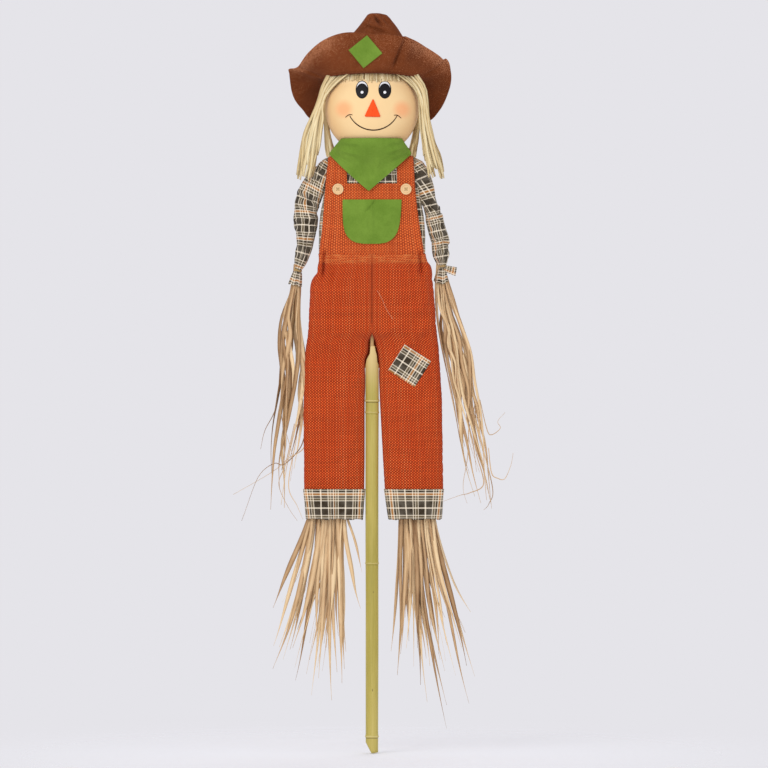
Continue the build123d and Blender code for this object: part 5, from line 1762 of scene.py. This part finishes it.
def scarf():
    """A felt kite that hangs from the chin to the bib, wrinkled where it turns round the neck."""
    heights = np.concatenate([[0.4, 1.5, 3.0], np.linspace(5, 86, 52)])
    rows = []
    for h in heights:
        left, right = (np.interp(h, SCARF_SPAN[:, 0], SCARF_SPAN[:, k]) for k in (1, 2))
        x = left + (right - left) * np.linspace(0, 1, 64)
        rows.append(np.stack([x, 0 * x, SCARF_TIP_Z + h + 0 * x], axis=1))
    points = np.array(rows)
    x, z = points[..., 0], points[..., 2]
    top = SCARF_TIP_Z + 86
    on_chest = torso_y(x * 0.94, np.clip(z, WAIST, 940) - WAIST, 6.6)
    on_chin = -head_front(x * 1.02, np.full_like(z, top + 3), 2.2)
    hang = smooth(z, 925, top - 4)
    y = np.maximum(on_chest * (1 - 0.45 * hang), on_chest + (on_chin - on_chest) * hang ** 1.2)
    side = smooth(np.abs(x), 44, 72)
    y = y * (1 - side * 0.12 * smooth(z, 935, 962))
    folds = creases(x, z, SCARF_FOLDS)
    points[..., 1] = -(y + 1.5 * folds + 1.1 * rough(points, 26, 19))
    points[..., 1] -= 1.2
    soften(points, 2)
    obj = grid("scarf_kite", points, cloth_uv(points))
    thicken(obj, 1.2, 0)
    dress(obj, "green_felt", "green_felt", "figure", ["neck_scarf"])
    return obj


def scarf_band():
    """The rest of the scarf: a rolled band from the kite's corners round the back of the neck."""
    count = 90
    a = np.linspace(-0.62 * math.pi, 0.62 * math.pi, count)
    rows = []
    for t in np.linspace(0, 2 * math.pi, 15)[:-1]:
        swell = 1 + 0.12 * np.sin(7 * a + t) + 0.1 * np.sin(13 * a)
        r = 3.6 * swell
        x = (60 + r * math.cos(t)) * np.sin(a)
        y = (26 + r * math.cos(t)) * np.cos(a)
        z = 966 + 8.0 * swell * math.sin(t) - 4 * np.cos(a)
        rows.append(np.stack([x, y, z], axis=1))
    points = np.transpose(np.array(rows), (1, 0, 2))
    obj = grid("scarf_band", points, cloth_uv(points, closed=True), wrap=True)
    cap_ends(obj, points.shape[1], count)
    return dress(obj, "green_felt", "green_felt", "figure")


# ---- build ------------------------------------------------------------------
bamboo_pole()
shirt()
pocket(front_of(overalls_bib()))
for side in SIDES:
    button_thread(side)
    cuff(side)
    sleeve(side)
    frill(side)
    wrist_tie(side)
    straw_hand(side)
    straw_foot(side)
    hair_lock(side)
    eye(side)

halves = {side: trouser_half(side) for side in SIDES}
legs_front = front_of(*halves.values())
knee_patch(legs_front)
thread_x = np.linspace(8, 34, 40) + 1.2 * np.sin(np.linspace(0, 7, 40))
thread_z = np.linspace(739, 692, 40)
thread_path = np.stack([thread_x, legs_front(thread_x, thread_z) - 0.5, thread_z], axis=1)
seam_line("loose_thread", thread_path, 0.25, "loose_thread", "thread", "figure")
crotch_gusset()
for side, half in halves.items():
    seat = ["trousers_seat", "seat_stuffing"] if side == "left" else []
    dress(half, "burlap_waist", "burlap", None, [f"trouser_leg_{side}", f"leg_padding_{side}", *seat])
    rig.padded(half, 0.6)
    at = SIDES[side] * 0.06
    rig.blend(half, "figure", f"leg_{side}", (at, LEG_Y * MM, 0.69), (at, LEG_Y * MM, 0.65))

head_ball()
nose()
smile()
hair_fringe()
brim = hat_brim()
hat_crown()
hat_patch(front_of(brim))
declare_sheet(scarf(), 0.150, 0.105, "draped", ["overalls_bib_cloth", "face_cloth"], [scarf_band()])

for name, material in (("spine_stick", "stick_wood"), ("shoulder_bar", "stick_wood"),
                       ("bar_tie_wire", "steel"), ("neck_tie", "thread"), ("head_ball", "foam"),
                       ("button_left", "button_wood"), ("button_right", "button_wood")):
    node = frame["nodes"][name]
    node.data.materials.clear()
    node.data.materials.append(MATERIALS[material])

# ---- studio -----------------------------------------------------------------
world = bpy.data.worlds.new("studio")
world.use_nodes = True
world.node_tree.nodes["Background"].inputs["Color"].default_value = rgb(229, 228, 233)
world.node_tree.nodes["Background"].inputs["Strength"].default_value = 1.0
bpy.context.scene.world = world


def area_light(name, place, target, size, power):
    data = bpy.data.lights.new(name, "AREA")
    data.size, data.energy = size, power
    lamp = bpy.data.objects.new(name, data)
    lamp.location = place
    lamp.rotation_euler = (Vector(target) - Vector(place)).to_track_quat("-Z", "Y").to_euler()
    bpy.context.scene.collection.objects.link(lamp)


area_light("key", (-1.5, -2.3, 2.3), (0, 0, 0.7), 1.4, 32)
area_light("front", (-0.3, -2.6, 0.45), (0, 0, 1.05), 1.2, 10)
area_light("fill", (2.0, -2.2, 1.1), (0, 0, 0.6), 1.8, 9)
area_light("back", (0.6, 2.2, 2.2), (0, 0, 0.7), 1.5, 14)

FLOOR_R = 0.9
bpy.ops.mesh.primitive_circle_add(vertices=96, radius=FLOOR_R, fill_type="NGON",
                                  location=(0, 0, (POLE_END - 1) * MM))
floor = bpy.context.object
floor.name = "floor"
floor_paint = Paint("studio_floor", 0.9, specular=0.1)
floor_paint.colour(rgb(232, 232, 235))
from_pole = floor_paint.add("ShaderNodeVectorMath", {"operation": "LENGTH"}, i0=floor_paint.place())
fade = floor_paint.range(from_pole.outputs["Value"], 0.1, FLOOR_R, 0.8, 0.0)
floor_paint.feed(floor_paint.shader.inputs["Alpha"], fade)
floor.data.materials.append(floor_paint.material)
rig.stage(floor)

camera = bpy.data.cameras.new("camera")
CAMERA_AWAY, VIEW_WIDTH = 9.0, 1.267
camera.sensor_width = 36
camera.lens = camera.sensor_width * CAMERA_AWAY / VIEW_WIDTH
camera.clip_end = 30
camera_object = bpy.data.objects.new("camera", camera)
camera_object.location = (0.0198, -CAMERA_AWAY, 0.5855)
camera_object.rotation_euler = (math.pi / 2, 0, 0)
bpy.context.scene.collection.objects.link(camera_object)
bpy.context.scene.camera = camera_object
bpy.context.scene.view_settings.view_transform = "Standard"

shown_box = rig.bounds()
with open("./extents.json", "w") as out:
    json.dump({"cad": [list(c) for c in cad_box], "visual": [list(c) for c in shown_box]}, out)
